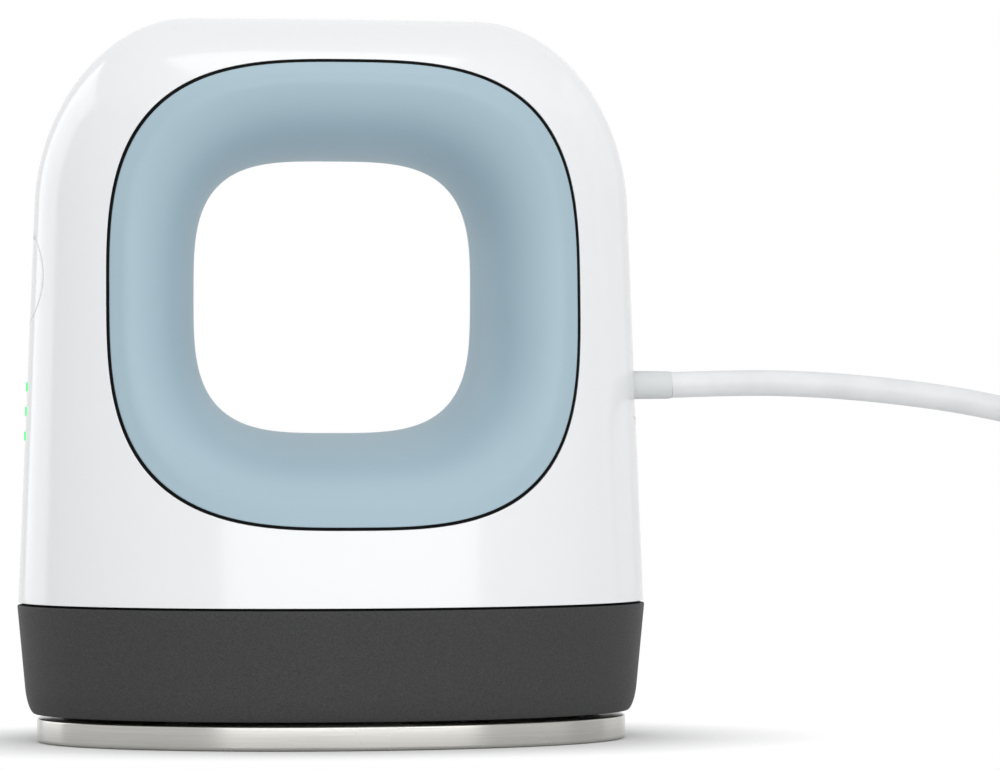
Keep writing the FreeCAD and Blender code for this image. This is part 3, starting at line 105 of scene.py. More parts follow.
# studio: how far out the floor turns plain white, in half sizes of the plate
SHADOW_START, SHADOW_END = 1.0, 1.7
FLOOR_REACH, FLOOR_Z = 4000.0, -0.05


# Camera


def make_camera():
    """A long lens from the front, left of the press and turned back towards it."""
    data = bpy.data.cameras.new("camera")
    data.sensor_width = CAMERA_SENSOR
    data.lens = CAMERA_LENS
    data.clip_start, data.clip_end = 0.01, 50.0
    camera = bpy.data.objects.new("camera", data)
    bpy.context.scene.collection.objects.link(camera)
    camera.location = CAMERA_PLACE
    camera.rotation_euler = (math.radians(CAMERA_LEAN), 0.0, math.radians(CAMERA_TURN))
    bpy.context.scene.camera = camera


# Cord


def quadratic_length(points):
    """Length of the quadratic spline with these control points, which passes through the first
    and last of them and through the middle of each leg between the others."""
    points = np.array(points, float)
    ends = (points[1:-2] + points[2:-1]) / 2
    starts = np.vstack([points[:1], ends])
    ends = np.vstack([ends, points[-1:]])
    t = np.linspace(0, 1, 9)[:, None, None]
    curve = (1 - t) ** 2 * starts + 2 * t * (1 - t) * points[1:-1] + t**2 * ends
    return float(np.linalg.norm(np.diff(curve, axis=0), axis=2).sum())


def coil_points(per_turn=24):
    """Turns of the put-away coil, clockwise from above. Each turn keeps one slot of a grid of
    four layers and three columns and moves to the next slot within CHANGE degrees; where it
    changes layer it swings out of the stack by half a slot. The curve runs inside its points,
    and the factor outward puts the middle of each stretch on the wanted radius."""
    step = 360.0 / per_turn
    outward = 1 / (0.75 + 0.25 * math.cos(math.radians(step)))
    points = []
    for k in range(round(COIL_TURNS * per_turn) + 1):
        angle = COIL_START - step * k
        passed = (FIRST_CHANGE - angle) / 360.0
        turn, share = 0, 1.0
        if passed >= 0:
            turn = int(passed) + 1
            share = min(1.0, (passed - int(passed)) * 360.0 / CHANGE)
        before, after = COIL_SLOTS[max(0, turn - 1)], COIL_SLOTS[turn]
        smooth = share * share * (3 - 2 * share)
        layer = before[0] + (after[0] - before[0]) * smooth
        column = before[1] + (after[1] - before[1]) * smooth
        if turn and before[1] == after[1]:
            swing = math.sin(math.pi * share) ** SWING_FULLNESS if 0 < share < 1 else 0.0
            column += swing * (COIL_SWING if before[1] == 2 else -COIL_SWING)
        radius = (COIL_RADIUS + (column - 1) * 2 * CORD_RADIUS) * outward
        turned = math.radians(angle)
        x, y = COIL_X + radius * math.cos(turned), radius * math.sin(turned)
        points.append((x, y, (2 * layer + 1) * CORD_RADIUS))
    return points


def side_of(z):
    """Half width of the casing at a height below its corners."""
    return HALF_WIDTH - SIDE_LEAN * (z - SEAM)


def cord_points():
    """The cord's line: out of the boot, down to the coil, round it and on to the plug."""
    outer = COIL_RADIUS + 2 * CORD_RADIUS
    tip = side_of(CORD_Z) + BOOT_REACH
    lead_in = [
        (tip, 0.0, CORD_Z),
        (58.8, 0.0, 50.0),
        (69.5, 0.1, 49.7),
        (80.2, 0.3, 48.8),
        (91.5, 0.8, 47.3),
        (104.0, 2.2, 44.6),
        (117.0, 5.0, 40.3),
        (130.3, 9.6, 34.0),
        (142.7, 15.2, 26.8),
        (153.5, 20.4, 20.2),
        (163.0, 24.4, 15.8),
    ]
    lead_out = [
        (COIL_X - 6, -outer, 3 * CORD_RADIUS),
        (PLUG_REAR_X + 6, -outer, PLUG_THICKNESS / 2),
        (PLUG_REAR_X, -outer, PLUG_THICKNESS / 2),
    ]
    return lead_in + coil_points() + lead_out


def make_cord():
    """One round curve of the cord's real length. The thickness is in the points' own radius,
    because a curve's box is as much wider than its line as that radius."""
    points = [tuple(MM * c for c in p) for p in cord_points()]
    data = bpy.data.curves.new("cord", "CURVE")
    data.dimensions = "3D"
    data.bevel_depth = 1.0
    data.bevel_resolution = 7
    data.resolution_u = 6
    data.use_fill_caps = True
    spline = data.splines.new("NURBS")
    spline.points.add(len(points) - 1)
    for point, place in zip(spline.points, points):
        point.co = (*place, 1.0)
        point.radius = CORD_RADIUS * MM
    spline.order_u = 3
    spline.use_endpoint_u = True
    cord = bpy.data.objects.new("cord", data)
    bpy.context.scene.collection.objects.link(cord)
    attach(cord, "press")
    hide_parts("mains_cord", "cord_coil", "plug_lead")
    return cord, quadratic_length(points)


# Meshes from grids of points


def grid_mesh(name, points, close_rows=False, close_columns=True, flip=None):
    """A mesh on a grid of points, rows by columns by 3, in millimetres. Rows or columns can
    close on themselves; a row that is one single point becomes a pole. Faces turn outwards,
    found from the sign of the volume."""
    points = np.asarray(points, float)
    rows, columns = points.shape[:2]
    pole = [bool(np.ptp(points[r], axis=0).max() < 1e-9) for r in range(rows)]
    index = np.zeros((rows, columns), int)
    vertices = []
    for r in range(rows):
        if pole[r]:
            index[r] = len(vertices)
            vertices.append(points[r, 0])
        else:
            index[r] = len(vertices) + np.arange(columns)
            vertices.extend(points[r])
    vertices = np.array(vertices)
    next_row = np.roll(index, -1, axis=0) if close_rows else index[1:]
    this_row = index if close_rows else index[:-1]
    if close_columns:
        a, b = this_row, np.roll(this_row, -1, axis=1)
        c, d = np.roll(next_row, -1, axis=1), next_row
    else:
        a, b = this_row[:, :-1], this_row[:, 1:]
        c, d = next_row[:, 1:], next_row[:, :-1]
    quads = np.stack([a, b, c, d], axis=-1).reshape(-1, 4)
    va, vb, vc, vd = (vertices[quads[:, k]] for k in range(4))
    volume = np.einsum("ij,ij->i", va, np.cross(vb, vc)).sum()
    volume += np.einsum("ij,ij->i", va, np.cross(vc, vd)).sum()
    if (volume < 0) if flip is None else flip:
        quads = quads[:, ::-1]
    faces = []
    for quad in quads.tolist():
        corners = [v for k, v in enumerate(quad) if v != quad[k - 1]]
        if len(corners) > 2:
            faces.append(corners)
    data = bpy.data.meshes.new(name)
    data.from_pydata((vertices * MM).tolist(), [], faces)
    data.polygons.foreach_set("use_smooth", [True] * len(data.polygons))
    data.update()
    piece = bpy.data.objects.new(name, data)
    bpy.context.scene.collection.objects.link(piece)
    return piece


def rounded(start, corner, end, reach, steps=5):
    """Points that round a corner: from reach short of it on one side to reach past it."""
    def short_of(toward):
        leg = toward - corner
        length = np.linalg.norm(leg, axis=-1, keepdims=True)
        return corner + leg * np.minimum(reach / np.maximum(length, 1e-9), 0.49)

    first, last = short_of(start), short_of(end)
    t = np.linspace(0, 1, steps)[:, None, None]
    return (1 - t) ** 2 * first + 2 * t * (1 - t) * corner + t**2 * last


def oval(shape, angle, inset=0.0):
    """Points of the oval |x/a|^n + |y/b|^n = 1, or of one with both halves less by inset."""
    a, b, n = shape
    c, s = np.cos(angle), np.sin(angle)
    k = (np.abs(c) ** n + np.abs(s) ** n) ** (1 / n)
    return (a - inset) * c / k, (b - inset) * s / k


# The casing's form


def closing(height, start, top):
    """1 up to start, then down to 0 at top along a quarter of an ellipse."""
    t = np.clip((height - start) / (top - start), 0, 1)
    return np.sqrt(1 - t * t)


def half_width(z, inset=0.0):
    leaning = HALF_WIDTH - SIDE_LEAN * (z - SEAM) - inset
    return CROWN_HALF_WIDTH + (leaning - CROWN_HALF_WIDTH) * closing(z, CORNER_START, TOP - inset)


def half_depth(z, inset=0.0):
    return (HALF_DEPTH - FACE_LEAN * (z - SEAM) - inset) * closing(z, CROWN_START, TOP - inset)


def face_at(x, z):
    """Distance of the casing's face from the parting plane."""
    share = np.clip(np.abs(x) / half_width(z), 0, 1)
    return half_depth(z) * (1 - share**FULLNESS) ** (1 / FULLNESS)


def side_at(y, z):
    """Distance of the casing's side from the middle plane."""
    share = np.clip(np.abs(y) / np.maximum(half_depth(z), 1e-9), 0, 1)
    return half_width(z) * (1 - share**FULLNESS) ** (1 / FULLNESS)


def form_point(plan, rise, inset=0.0):
    """Front of the casing's form: plan runs from 0 at the right side through the front to pi at
    the left; height is SEAM at rise 0 and the crown at pi/2."""
    z = SEAM + (TOP - inset - SEAM) * np.sin(rise)
    x, y = oval((1.0, 1.0, FULLNESS), plan)
    x = x * half_width(z, inset)
    y = np.maximum(y * half_depth(z, inset), HALF_GAP)
    return np.stack([x, -y, z], axis=-1)


def plan_and_rise(x, z, y=None):
    """The two parameters of a point on the form, from x and z, or from y and z and x's sign."""
    rise = np.arcsin(np.clip((z - SEAM) / (TOP - SEAM), 0, 1))
    if y is None:
        across = np.clip(x / half_width(z), -1, 1)
        along = (1 - np.abs(across) ** FULLNESS) ** (1 / FULLNESS)
    else:
        along = np.clip(np.abs(y) / np.maximum(half_depth(z), 1e-9), 0, 1)
        across = np.sign(x) * (1 - along**FULLNESS) ** (1 / FULLNESS)
    return np.arctan2(along, across), rise


def dish_edge(turn):
    """Distance from the cord's axis where the dish meets the casing's side, by bisection."""
    low, high = np.full_like(turn, 1.0), np.full_like(turn, DISH_RADIUS + 1)
    for _ in range(40):
        middle = (low + high) / 2
        y, z = middle * np.cos(turn), CORD_Z + middle * np.sin(turn)
        inside = dish_x(middle) < side_at(y, z)
        low, high = np.where(inside, middle, low), np.where(inside, high, middle)
    return low


def dish_x(distance):
    """The dish's ball at a distance from the cord's axis."""
    ball = (DISH_RADIUS**2 + DISH_DEPTH**2) / (2 * DISH_DEPTH)
    return side_of(CORD_Z) - DISH_DEPTH + ball - np.sqrt(ball**2 - distance**2)


def shell_border():
    """The front half's border, counter-clockwise from the lower left corner seen from the front.
    Each stretch gives plan and rise, the angle of the matching point of the opening, and for the
    dish the turn round the cord's axis."""

    def polar(x, z):
        return math.atan2(z - GRIP_Z, x)

    dish_turn = np.linspace(-math.pi / 2, -3 * math.pi / 2, 61)
    dish_rho = dish_edge(dish_turn)
    dish_y, dish_z = dish_rho * np.cos(dish_turn), CORD_Z + dish_rho * np.sin(dish_turn)
    hole = BUTTON_RADIUS + BUTTON_PLAY
    turn = np.linspace(math.pi / 2, 3 * math.pi / 2, 61)
    hole_y, hole_z = hole * np.cos(turn), BUTTON_Z + hole * np.sin(turn)

    def rise_of(z):
        return math.asin((z - SEAM) / (TOP - SEAM))

    low_left = polar(-HALF_WIDTH, SEAM) + 2 * math.pi
    low_right = polar(HALF_WIDTH, SEAM)
    dish_low = polar(side_of(dish_z[0]), dish_z[0])
    dish_high = polar(side_of(dish_z[-1]), dish_z[-1])
    stretches = []

    def stretch(kind, plan, rise, start, end):
        share = np.linspace(0, 1, len(plan))
        around = start + (end - start) * share
        turns = dish_turn if kind == "dish" else np.zeros(len(plan))
        kinds = np.array([kind] * len(plan))
        stretches.append([a[:-1] for a in (plan, rise, around, turns, kinds)])

    n = 121
    bottom = np.linspace(math.pi, 0, n)
    stretch("edge", bottom, np.zeros(n), low_left - 2 * math.pi, low_right)
    up = np.linspace(0, rise_of(dish_z[0]), 41)
    stretch("edge", np.zeros(41), up, low_right, dish_low)
    plan, rise = plan_and_rise(np.ones(61), dish_z, dish_y)
    stretch("dish", plan, rise, dish_low, dish_high)
    up = np.linspace(rise_of(dish_z[-1]), math.pi / 2, 101)
    crown = polar(CROWN_HALF_WIDTH, TOP)
    stretch("edge", np.zeros(101), up, dish_high, crown)
    stretch("edge", np.linspace(0, math.pi, 61), np.full(61, math.pi / 2), crown, math.pi - crown)
    down = np.linspace(math.pi / 2, rise_of(hole_z[0]), 101)
    upper = polar(-side_of(hole_z[0]), hole_z[0])
    lower = polar(-side_of(hole_z[-1]), hole_z[-1]) + 2 * math.pi
    stretch("edge", np.full(101, math.pi), down, math.pi - crown, upper)
    plan, rise = plan_and_rise(-np.ones(61), hole_z, hole_y)
    stretch("button", plan, rise, upper, lower)
    down = np.linspace(rise_of(hole_z[-1]), 0, 61)
    stretch("edge", np.full(61, math.pi), down, lower, low_left)
    return [np.concatenate([s[k] for s in stretches]) for k in range(5)]


def opening_at(angle, inset=0.0):
    """Point of the opening's outline that lies in a direction from the hole's middle."""
    a, b, n = OPENING
    a, b = a - inset, b - inset
    c, s = np.cos(angle), np.sin(angle)
    reach = (np.abs(c / a) ** n + np.abs(s / b) ** n) ** (-1 / n)
    return reach * c, GRIP_Z + reach * s


def make_shell(name, node, mirrored):
    """One half of the casing as a closed skin. Every column of the grid starts at the opening,
    runs over the outside to the border, turns in there and comes back on the inside. The rows
    are bunched towards both ends by a sine."""
    plan, rise, around, turns, kinds = shell_border()
    x, z = opening_at(around)
    hole_plan, hole_rise = plan_and_rise(x, z)

    def form_row(share, inset=0.0):
        """A share of the way over the form, from the opening at 0 to the border at 1."""
        plan_here = hole_plan + (plan - hole_plan) * share
        return form_point(plan_here, hole_rise + (rise - hole_rise) * share, inset)

    share = np.linspace(0, 1, 64)
    share = share - SHELL_BUNCHING * np.sin(2 * math.pi * share)
    outer = form_row(share[:, None])
    inner = form_row(np.linspace(1, 0, 14)[:, None], WALL)
    inner[..., 2] = np.maximum(inner[..., 2], SEAM)
    lip = outer[0] + np.array([0.0, GRIP_WALL - LIP_CLEARANCE, 0.0])
    edge, inner_edge = outer[-1], inner[0]
    dish = kinds == "dish"
    button = kinds == "button"
    rho = dish_edge(turns)

    def dish_point(share):
        """From the dish's edge at 0 to the neck's hole at 1."""
        distance = rho + (NECK_RADIUS + NECK_PLAY - rho) * share
        y = np.minimum(distance * np.cos(turns), -HALF_GAP)
        return np.stack([dish_x(distance), y, CORD_Z + distance * np.sin(turns)], axis=-1)

    def lip_point(share):
        """Along the border's inward face, for each kind of stretch."""
        straight = edge + (inner_edge - edge) * share
        pushed = edge + np.array([BUTTON_HOLE_DEPTH, 0.0, 0.0]) * share
        if share < 0.75:
            scooped = dish_point(share / 0.75)
        else:
            sunk = np.array([NECK_HOLE_DEPTH, 0.0, 0.0]) * (share - 0.75) / 0.25
            scooped = dish_point(1.0) - sunk
        return np.where(dish[:, None], scooped, np.where(button[:, None], pushed, straight))

    lips = [lip_point(s) for s in np.linspace(0.06, 1.0, 18)]
    body = [
        *rounded(lip, outer[0], outer[1], OPENING_ROUND),
        *outer[1:-1],
        *rounded(outer[-2], edge, lips[0], BORDER_ROUND, 4),
        *lips,
        *inner,
        lip,
    ]
    points = np.stack(body)
    if mirrored:
        points = points * np.array([1.0, -1.0, 1.0])
    piece = grid_mesh(name, points, close_rows=True)
    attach(piece, "press")
    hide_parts(node)
    return piece


def make_grip(name, node, mirrored):
    """Half of the grip lining as a closed skin: rim, soft crest, funnel and waist, and back.
    The funnel is a quarter of an ellipse from the crest to the waist."""
    angle = np.linspace(0, 2 * math.pi, 481)[:-1]

    def opening_point(inset, depth=0.0):
        x, z = oval(OPENING, angle, inset)
        return np.stack([x, depth - face_at(x, GRIP_Z + z), GRIP_Z + z], axis=-1)

    crest_x, crest_z = oval(OPENING, angle, RIM)
    crest_depth = face_at(crest_x, GRIP_Z + crest_z)

    def funnel(turn, thickness):
        waist_x, waist_z = oval(WAIST, angle, -thickness)
        share = 1 - math.cos(turn)
        x = waist_x + (crest_x - waist_x) * share
        y = -HALF_GAP - (crest_depth - thickness - HALF_GAP) * math.sin(turn)
        z = GRIP_Z + waist_z + (crest_z - waist_z) * share
        return np.stack([x, y, z], axis=-1)

    rim = [opening_point(i) for i in np.linspace(GRIP_GAP, RIM - CREST_START, 6)]
    turns = math.pi / 2 * (1 - np.linspace(0.012, 1, 46) ** 1.15)
    skin = [funnel(t, 0.0) for t in turns]
    crest = opening_point(RIM)
    far = [k for k, t in enumerate(turns) if t < math.pi / 2 * CREST_END][0]
    t = np.linspace(0, 1, 8)[:, None, None]
    soft = (1 - t) ** 2 * rim[-1] + 2 * t * (1 - t) * crest + t**2 * skin[far]
    back = [funnel(t, GRIP_WALL) for t in np.linspace(0, math.pi / 2, 14)]
    root = opening_point(GRIP_GAP, GRIP_WALL)
    body = [
        *rounded(root, rim[0], rim[1], 0.3, 6),
        *rim[1:-1],
        *soft,
        *skin[far + 1 : -1],
        *rounded(skin[-2], skin[-1], back[0], 0.12, 3),
        *back,
        root,
    ]
    points = np.stack(body)
    if mirrored:
        points = points * np.array([1.0, -1.0, 1.0])
    piece = grid_mesh(name, points, close_rows=True)
    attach(piece, "press")
    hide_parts(node)
    return piece


# Skirt and sole plate


def make_skirt():
    """Closed band of oval sections: leaning face, rounded foot, straight inside."""
    angle = np.linspace(0, 2 * math.pi, 481)[:-1]

    def ring(z, inset):
        lean = SKIRT_TAPER * (SKIRT_TOP - z)
        share = min(1.0, max(0.0, (SKIRT_BOTTOM + FOOT_HEIGHT - z) / FOOT_HEIGHT))
        foot = FOOT_ROUND * (1 - math.sqrt(1 - share * share))
        less = lean + foot + inset - SKIRT_PROUD
        x, y = oval((HALF_WIDTH - less, HALF_DEPTH - less, FULLNESS), angle)
        return np.stack([x, y, np.full_like(x, z)], axis=-1)

    turned = np.linspace(0, 1, 18)
    foot_top = SKIRT_BOTTOM + FOOT_HEIGHT
    foot = [ring(SKIRT_BOTTOM + FOOT_HEIGHT * (1 - math.cos(math.pi / 2 * t)), 0.0) for t in turned]
    face = [ring(z, 0.0) for z in np.linspace(foot_top, SKIRT_TOP, 9)[1:]]
    inside = [ring(z, SKIRT_WALL) for z in np.linspace(SKIRT_TOP, foot_top, 6)]
    low = ring(SKIRT_BOTTOM, SKIRT_WALL - FOOT_LAND)
    body = [
        *rounded(low, foot[0], foot[1], 0.25, 4),
        *foot[1:],
        *face[:-1],
        *rounded(face[-2], face[-1], inside[0], 0.22, 5),
        *inside,
        low,
    ]
    piece = grid_mesh("skirt", np.stack(body), close_rows=True)
    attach(piece, "press")
    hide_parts("base_skirt")
    return piece


def make_plate():
    """Oval cast plate: flat sole, rounded lower edge, upright rim and raised middle."""
    angle = np.linspace(0, 2 * math.pi, 481)[:-1]

    def ring(z, shape, inset=0.0):
        x, y = oval(shape, angle, inset)
        return np.stack([x, y, np.full_like(x, z)], axis=-1)

    def middle(z):
        return np.tile(np.array([0.0, 0.0, z]), (len(angle), 1))

    def scaled(z, shape, share):
        a, b, n = shape
        return ring(z, (a * share, b * share, n))

    def edge_ring(turn):
        """A ring of the rounded lower edge, from the sole at 0 to the rim at a quarter turn."""
        return ring(PLATE_ROUND * (1 - math.cos(turn)), PLATE, PLATE_ROUND * (1 - math.sin(turn)))

    flat = (PLATE[0] - PLATE_ROUND, PLATE[1] - PLATE_ROUND, PLATE[2])
    sole = [scaled(0.0, flat, share) for share in (0.2, 0.45, 0.7, 0.9, 0.97)]
    edge = [edge_ring(t) for t in np.linspace(0, math.pi / 2, 10)]
    top = PLATE_THICKNESS
    corner = ring(top, PLATE)
    boss_top = top + BOSS_HEIGHT
    body = [
        middle(0.0),
        *sole,
        *edge,
        ring(top * 0.6, PLATE),
        *rounded(edge[-1], corner, ring(top, BOSS, -1.0), 0.3, 5),
        ring(top, BOSS, -0.5),
        ring(top, BOSS, 0.0),
        ring(boss_top - 0.5, BOSS, 0.1),
        ring(boss_top, BOSS, 0.6),
        scaled(boss_top, BOSS, 0.9),
        scaled(boss_top, BOSS, 0.4),
        middle(boss_top),
    ]
    piece = grid_mesh("sole_plate", np.stack(body))
    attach(piece, "press")
    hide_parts("heat_plate")
    return piece


# Round pieces and the button


def lathe(name, profile, middle, columns=72):
    """A surface turned round an axis along X: the profile gives x and radius, from pole to pole."""
    angle = np.linspace(0, 2 * math.pi, columns + 1)[:-1]
    x0, y0, z0 = middle
    rows = []
    for x, r in profile:
        along = np.full_like(angle, x0 + x)
        rows.append(np.stack([along, y0 + r * np.cos(angle), z0 + r * np.sin(angle)], axis=-1))
    return grid_mesh(name, np.stack(rows))


def filleted(profile, reaches, steps=5):
    """The profile with its corners rounded; reaches gives how far each corner is cut back."""
    points = [np.array(p, float) for p in profile]
    out = [points[0]]
    for before, here, after, reach in zip(points, points[1:], points[2:], reaches):
        if reach == 0:
            out.append(here)
            continue
        arc = rounded(before[None], here[None], after[None], reach, steps)
        out.extend(arc[:, 0])
    out.append(points[-1])
    return out


def make_boot():
    """Strain relief: sleeve, flange and neck inside, slim taper with a rounded lip outside."""
    side = side_of(CORD_Z)
    flange_x = side - SOCKET_DEPTH - 0.1 - FLANGE
    neck_end = side - DISH_DEPTH
    tip = side + BOOT_REACH
    profile = [
        (flange_x - SLEEVE, 0.0),
        (flange_x - SLEEVE, SLEEVE_RADIUS),
        (flange_x, SLEEVE_RADIUS),
        (flange_x, FLANGE_RADIUS),
        (flange_x + FLANGE, FLANGE_RADIUS),
        (flange_x + FLANGE, NECK_RADIUS),
        (neck_end, NECK_RADIUS),
        (neck_end + 0.35, BOOT_ROOT + 0.12),
        (neck_end + 1.4, BOOT_ROOT),
        (tip - 0.5, CORD_RADIUS + 0.1),
        (tip, CORD_RADIUS + 0.05),
        (tip, 0.0),
    ]
    reaches = [0.2, 0.3, 0.3, 0.3, 0.2, 0.25, 0.2, 0.4, 0.2, 0.12]
    piece = lathe("strain_relief_boot", filleted(profile, reaches), (0.0, 0.0, CORD_Z))
    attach(piece, "press")
    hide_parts("strain_relief")
    return piece


def make_button():
    """Cap of the power button: a round piece of the casing's side with a soft edge and a flange
    behind it."""
    angle = np.linspace(0, 2 * math.pi, 97)[:-1]
    side = side_of(BUTTON_Z)

    def face(radius, depth=0.0):
        y, z = radius * np.cos(angle), BUTTON_Z + radius * np.sin(angle)
        return np.stack([depth - side_at(y, z), y, z], axis=-1)

    def ring(radius, x):
        y, z = radius * np.cos(angle), BUTTON_Z + radius * np.sin(angle)
        return np.stack([np.full_like(y, x), y, z], axis=-1)

    seat = BUTTON_SEAT - side + HALF_GAP
    edge, wall = face(BUTTON_RADIUS), ring(BUTTON_RADIUS, seat)
    body = [
        np.tile(np.array([-side, 0.0, BUTTON_Z]), (len(angle), 1)),
        *[face(r) for r in np.linspace(0.6, BUTTON_RADIUS - 0.3, 12)],
        *rounded(face(BUTTON_RADIUS - 0.5), edge, wall, 0.22, 6),
        wall,
        ring(BUTTON_RADIUS + BUTTON_FLANGE, seat),
        ring(BUTTON_RADIUS + BUTTON_FLANGE, seat + BUTTON_FLANGE),
        np.tile(np.array([seat + BUTTON_FLANGE, 0.0, BUTTON_Z]), (len(angle), 1)),
    ]
    piece = grid_mesh("button_cap", np.stack(body))
    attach(piece, "power_button")
    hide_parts("power_button")
    return piece


def make_plug():
    """Moulded plug body with soft edges, and its ribbed strain relief."""
    y0, z0 = -(COIL_RADIUS + 2 * CORD_RADIUS), PLUG_THICKNESS / 2
    front = PLUG_REAR_X - PLUG_RELIEF
    angle = np.linspace(0, 2 * math.pi, 145)[:-1]

    def section(x, inset):
        y, z = oval((PLUG_WIDTH / 2, PLUG_THICKNESS / 2, PLUG_SQUARENESS), angle, inset)
        return np.stack([np.full_like(y, x), y0 + y, z0 + z], axis=-1)

    def end(x):
        return np.tile(np.array([x, y0, z0]), (len(angle), 1))

    def quarter(edge, reach, turn):
        """A section of a rounded end: reach is positive where the body lies beyond the edge."""
        along, across = 1 - math.sin(turn), 1 - math.cos(turn)
        squash = 1.0 if reach > 0 else 0.8
        return section(edge + reach * along, abs(reach) * across * squash)

    turned = np.linspace(0, math.pi / 2, 8)
    low = front - PLUG_LENGTH
    body = [end(low), section(low, 5.0)]
    body += [quarter(low, PLUG_FRONT_ROUND, t) for t in turned[::-1]]
    body += [section(x, 0.0) for x in np.linspace(low + 3, front - 5, 6)]
    body += [quarter(front, -PLUG_ROUND, t) for t in turned]
    body += [section(front, 5.5), end(front)]
    block = grid_mesh("plug_block", np.stack(body))
    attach(block, "press")
    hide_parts("plug_body")

    profile = [(0.0, 0.0), (0.0, RELIEF_RADIUS)]
    groove = [(0.0, 0.0), (0.5, 0.75), (1.1, 0.8), (1.6, 0.16)]
    for k in range(PLUG_RIBS):
        x = 1.0 + k * RIB_PITCH
        radius = RELIEF_RADIUS - 1.5 * x / PLUG_RELIEF
        profile += [(x + along, radius - depth) for along, depth in groove]
    profile += [(PLUG_RELIEF, RELIEF_END), (PLUG_RELIEF, 0.0)]
    tail = lathe("plug_tail", profile, (front, y0, z0))
    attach(tail, "press")
    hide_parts("plug_strain_relief")
    return block, tail


# Materials


class Value:
    """A shader socket that takes part in Python expressions."""

    def __init__(self, tree, socket):
        self.tree, self.socket = tree, socket

    def node(self, kind, inputs, output=0, **settings):
        """A new node with these inputs, numbers or values; gives one of its outputs."""
        made = self.tree.nodes.new(kind)
        for name, setting in settings.items():
            setattr(made, name, setting)
        for place, number in inputs.items():
            if isinstance(number, Value):
                self.tree.links.new(number.socket, made.inputs[place])
            else:
                made.inputs[place].default_value = number
        return Value(self.tree, made.outputs[output])

    def math(self, operation, first, second):
        return self.node("ShaderNodeMath", {0: first, 1: second}, operation=operation)

    def __add__(self, other):
        return self.math("ADD", self, other)

    def __radd__(self, other):
        return self.math("ADD", other, self)

    def __sub__(self, other):
        return self.math("SUBTRACT", self, other)

    def __rsub__(self, other):
        return self.math("SUBTRACT", other, self)

    def __mul__(self, other):
        return self.math("MULTIPLY", self, other)

    def __rmul__(self, other):
        return self.math("MULTIPLY", other, self)

    def larger(self, other):
        """The larger of this value and another."""
        return self.math("MAXIMUM", self, other)

    def length(self):
        """Distance of this point from the middle."""
        return self.node("ShaderNodeVectorMath", {0: self}, 1, operation="LENGTH")

    def clamped(self, low, high):
        """0 at low, 1 at high, straight between."""
        return self.node("ShaderNodeMapRange", {0: self, 1: low, 2: high, 3: 0.0, 4: 1.0})

    def noise(self, scale, detail=2.0, roughness=0.5):
        """Noise at this point, about 0.5, with scale per metre."""
        inputs = {"Vector": self, "Scale": scale, "Detail": detail, "Roughness": roughness}
        return self.node("ShaderNodeTexNoise", inputs)

    def stretched(self, x, y, z):
        """This point with each coordinate multiplied."""
        return self.node("ShaderNodeVectorMath", {0: self, 1: (x, y, z)}, operation="MULTIPLY")

    def blend(self, low, high):
        """Mixes two colours: low at 0, high at 1."""
        inputs = {0: self, 6: (*low, 1.0), 7: (*high, 1.0)}
        return self.node("ShaderNodeMix", inputs, output=2, data_type="RGBA")

    def bump(self, strength, distance):
        """A normal from this value as a height."""
        inputs = {"Strength": strength, "Distance": distance, "Height": self}
        return self.node("ShaderNodeBump", inputs)


def material(name, build, **fixed):
    """A Principled material: fixed inputs are set, and build gives the varying ones from the
    object's own coordinates."""
    made = bpy.data.materials.new(name)
    made.use_nodes = True
    tree = made.node_tree
    shader = next(n for n in tree.nodes if n.type == "BSDF_PRINCIPLED")
    for socket, number in fixed.items():
        shader.inputs[socket.replace("_", " ")].default_value = number
    coordinates = tree.nodes.new("ShaderNodeTexCoord")
    place = Value(tree, coordinates.outputs["Object"])
    for socket, value in build(place).items():
        tree.links.new(value.socket, shader.inputs[socket])
    return made


def paint(piece, made):
    piece.data.materials.clear()
    piece.data.materials.append(made)


def moulded(colour, shade, roughness, grain=2500.0, depth=0.00001):
    """Looks of a moulded plastic: a trace of unevenness in colour, gloss and surface."""

    def build(place):
        cloud = place.noise(18.0, 3.0)
        fine = place.noise(grain, 1.0)
        return {
            "Base Color": cloud.clamped(0.3, 0.7).blend(shade, colour),
            "Roughness": cloud.clamped(0.2, 0.8) * 0.04 + (roughness - 0.02),
            "Normal": fine.bump(0.12, depth),
        }

    return build


def charcoal(place):
    """Fine-grained heat-resistant plastic: speckled in tone and height."""
    speck = place.noise(5200.0, 2.0, 0.7)
    cloud = place.noise(60.0, 2.0)
    tone = speck.clamped(0.32, 0.72).blend((0.040, 0.040, 0.040), (0.067, 0.067, 0.067))
    return {
        "Base Color": tone,
        "Roughness": cloud.clamped(0.3, 0.7) * 0.06 + 0.55,
        "Normal": speck.bump(0.55, 0.00006),
    }


def coated_plate(place):
    """Satin coated metal: faint lines along the rim and a soft cloud of gloss."""
    lines = place.stretched(1.0, 1.0, 60.0).noise(90.0, 2.0)
    cloud = place.noise(40.0, 2.0)
    return {
        "Base Color": lines.clamped(0.3, 0.7).blend((0.45, 0.445, 0.42), (0.50, 0.495, 0.47)),
        "Roughness": cloud.clamped(0.3, 0.7) * 0.05 + 0.24,
        "Normal": lines.bump(0.1, 0.00002),
    }


def soft_pvc(place):
    """Soft cord sheath: satin, with faint unevenness."""
    cloud = place.noise(220.0, 2.0)
    return {
        "Base Color": cloud.clamped(0.3, 0.7).blend((0.745, 0.755, 0.76), (0.795, 0.805, 0.81)),
        "Roughness": cloud.clamped(0.2, 0.8) * 0.08 + 0.38,
        "Normal": cloud.bump(0.1, 0.00003),
    }


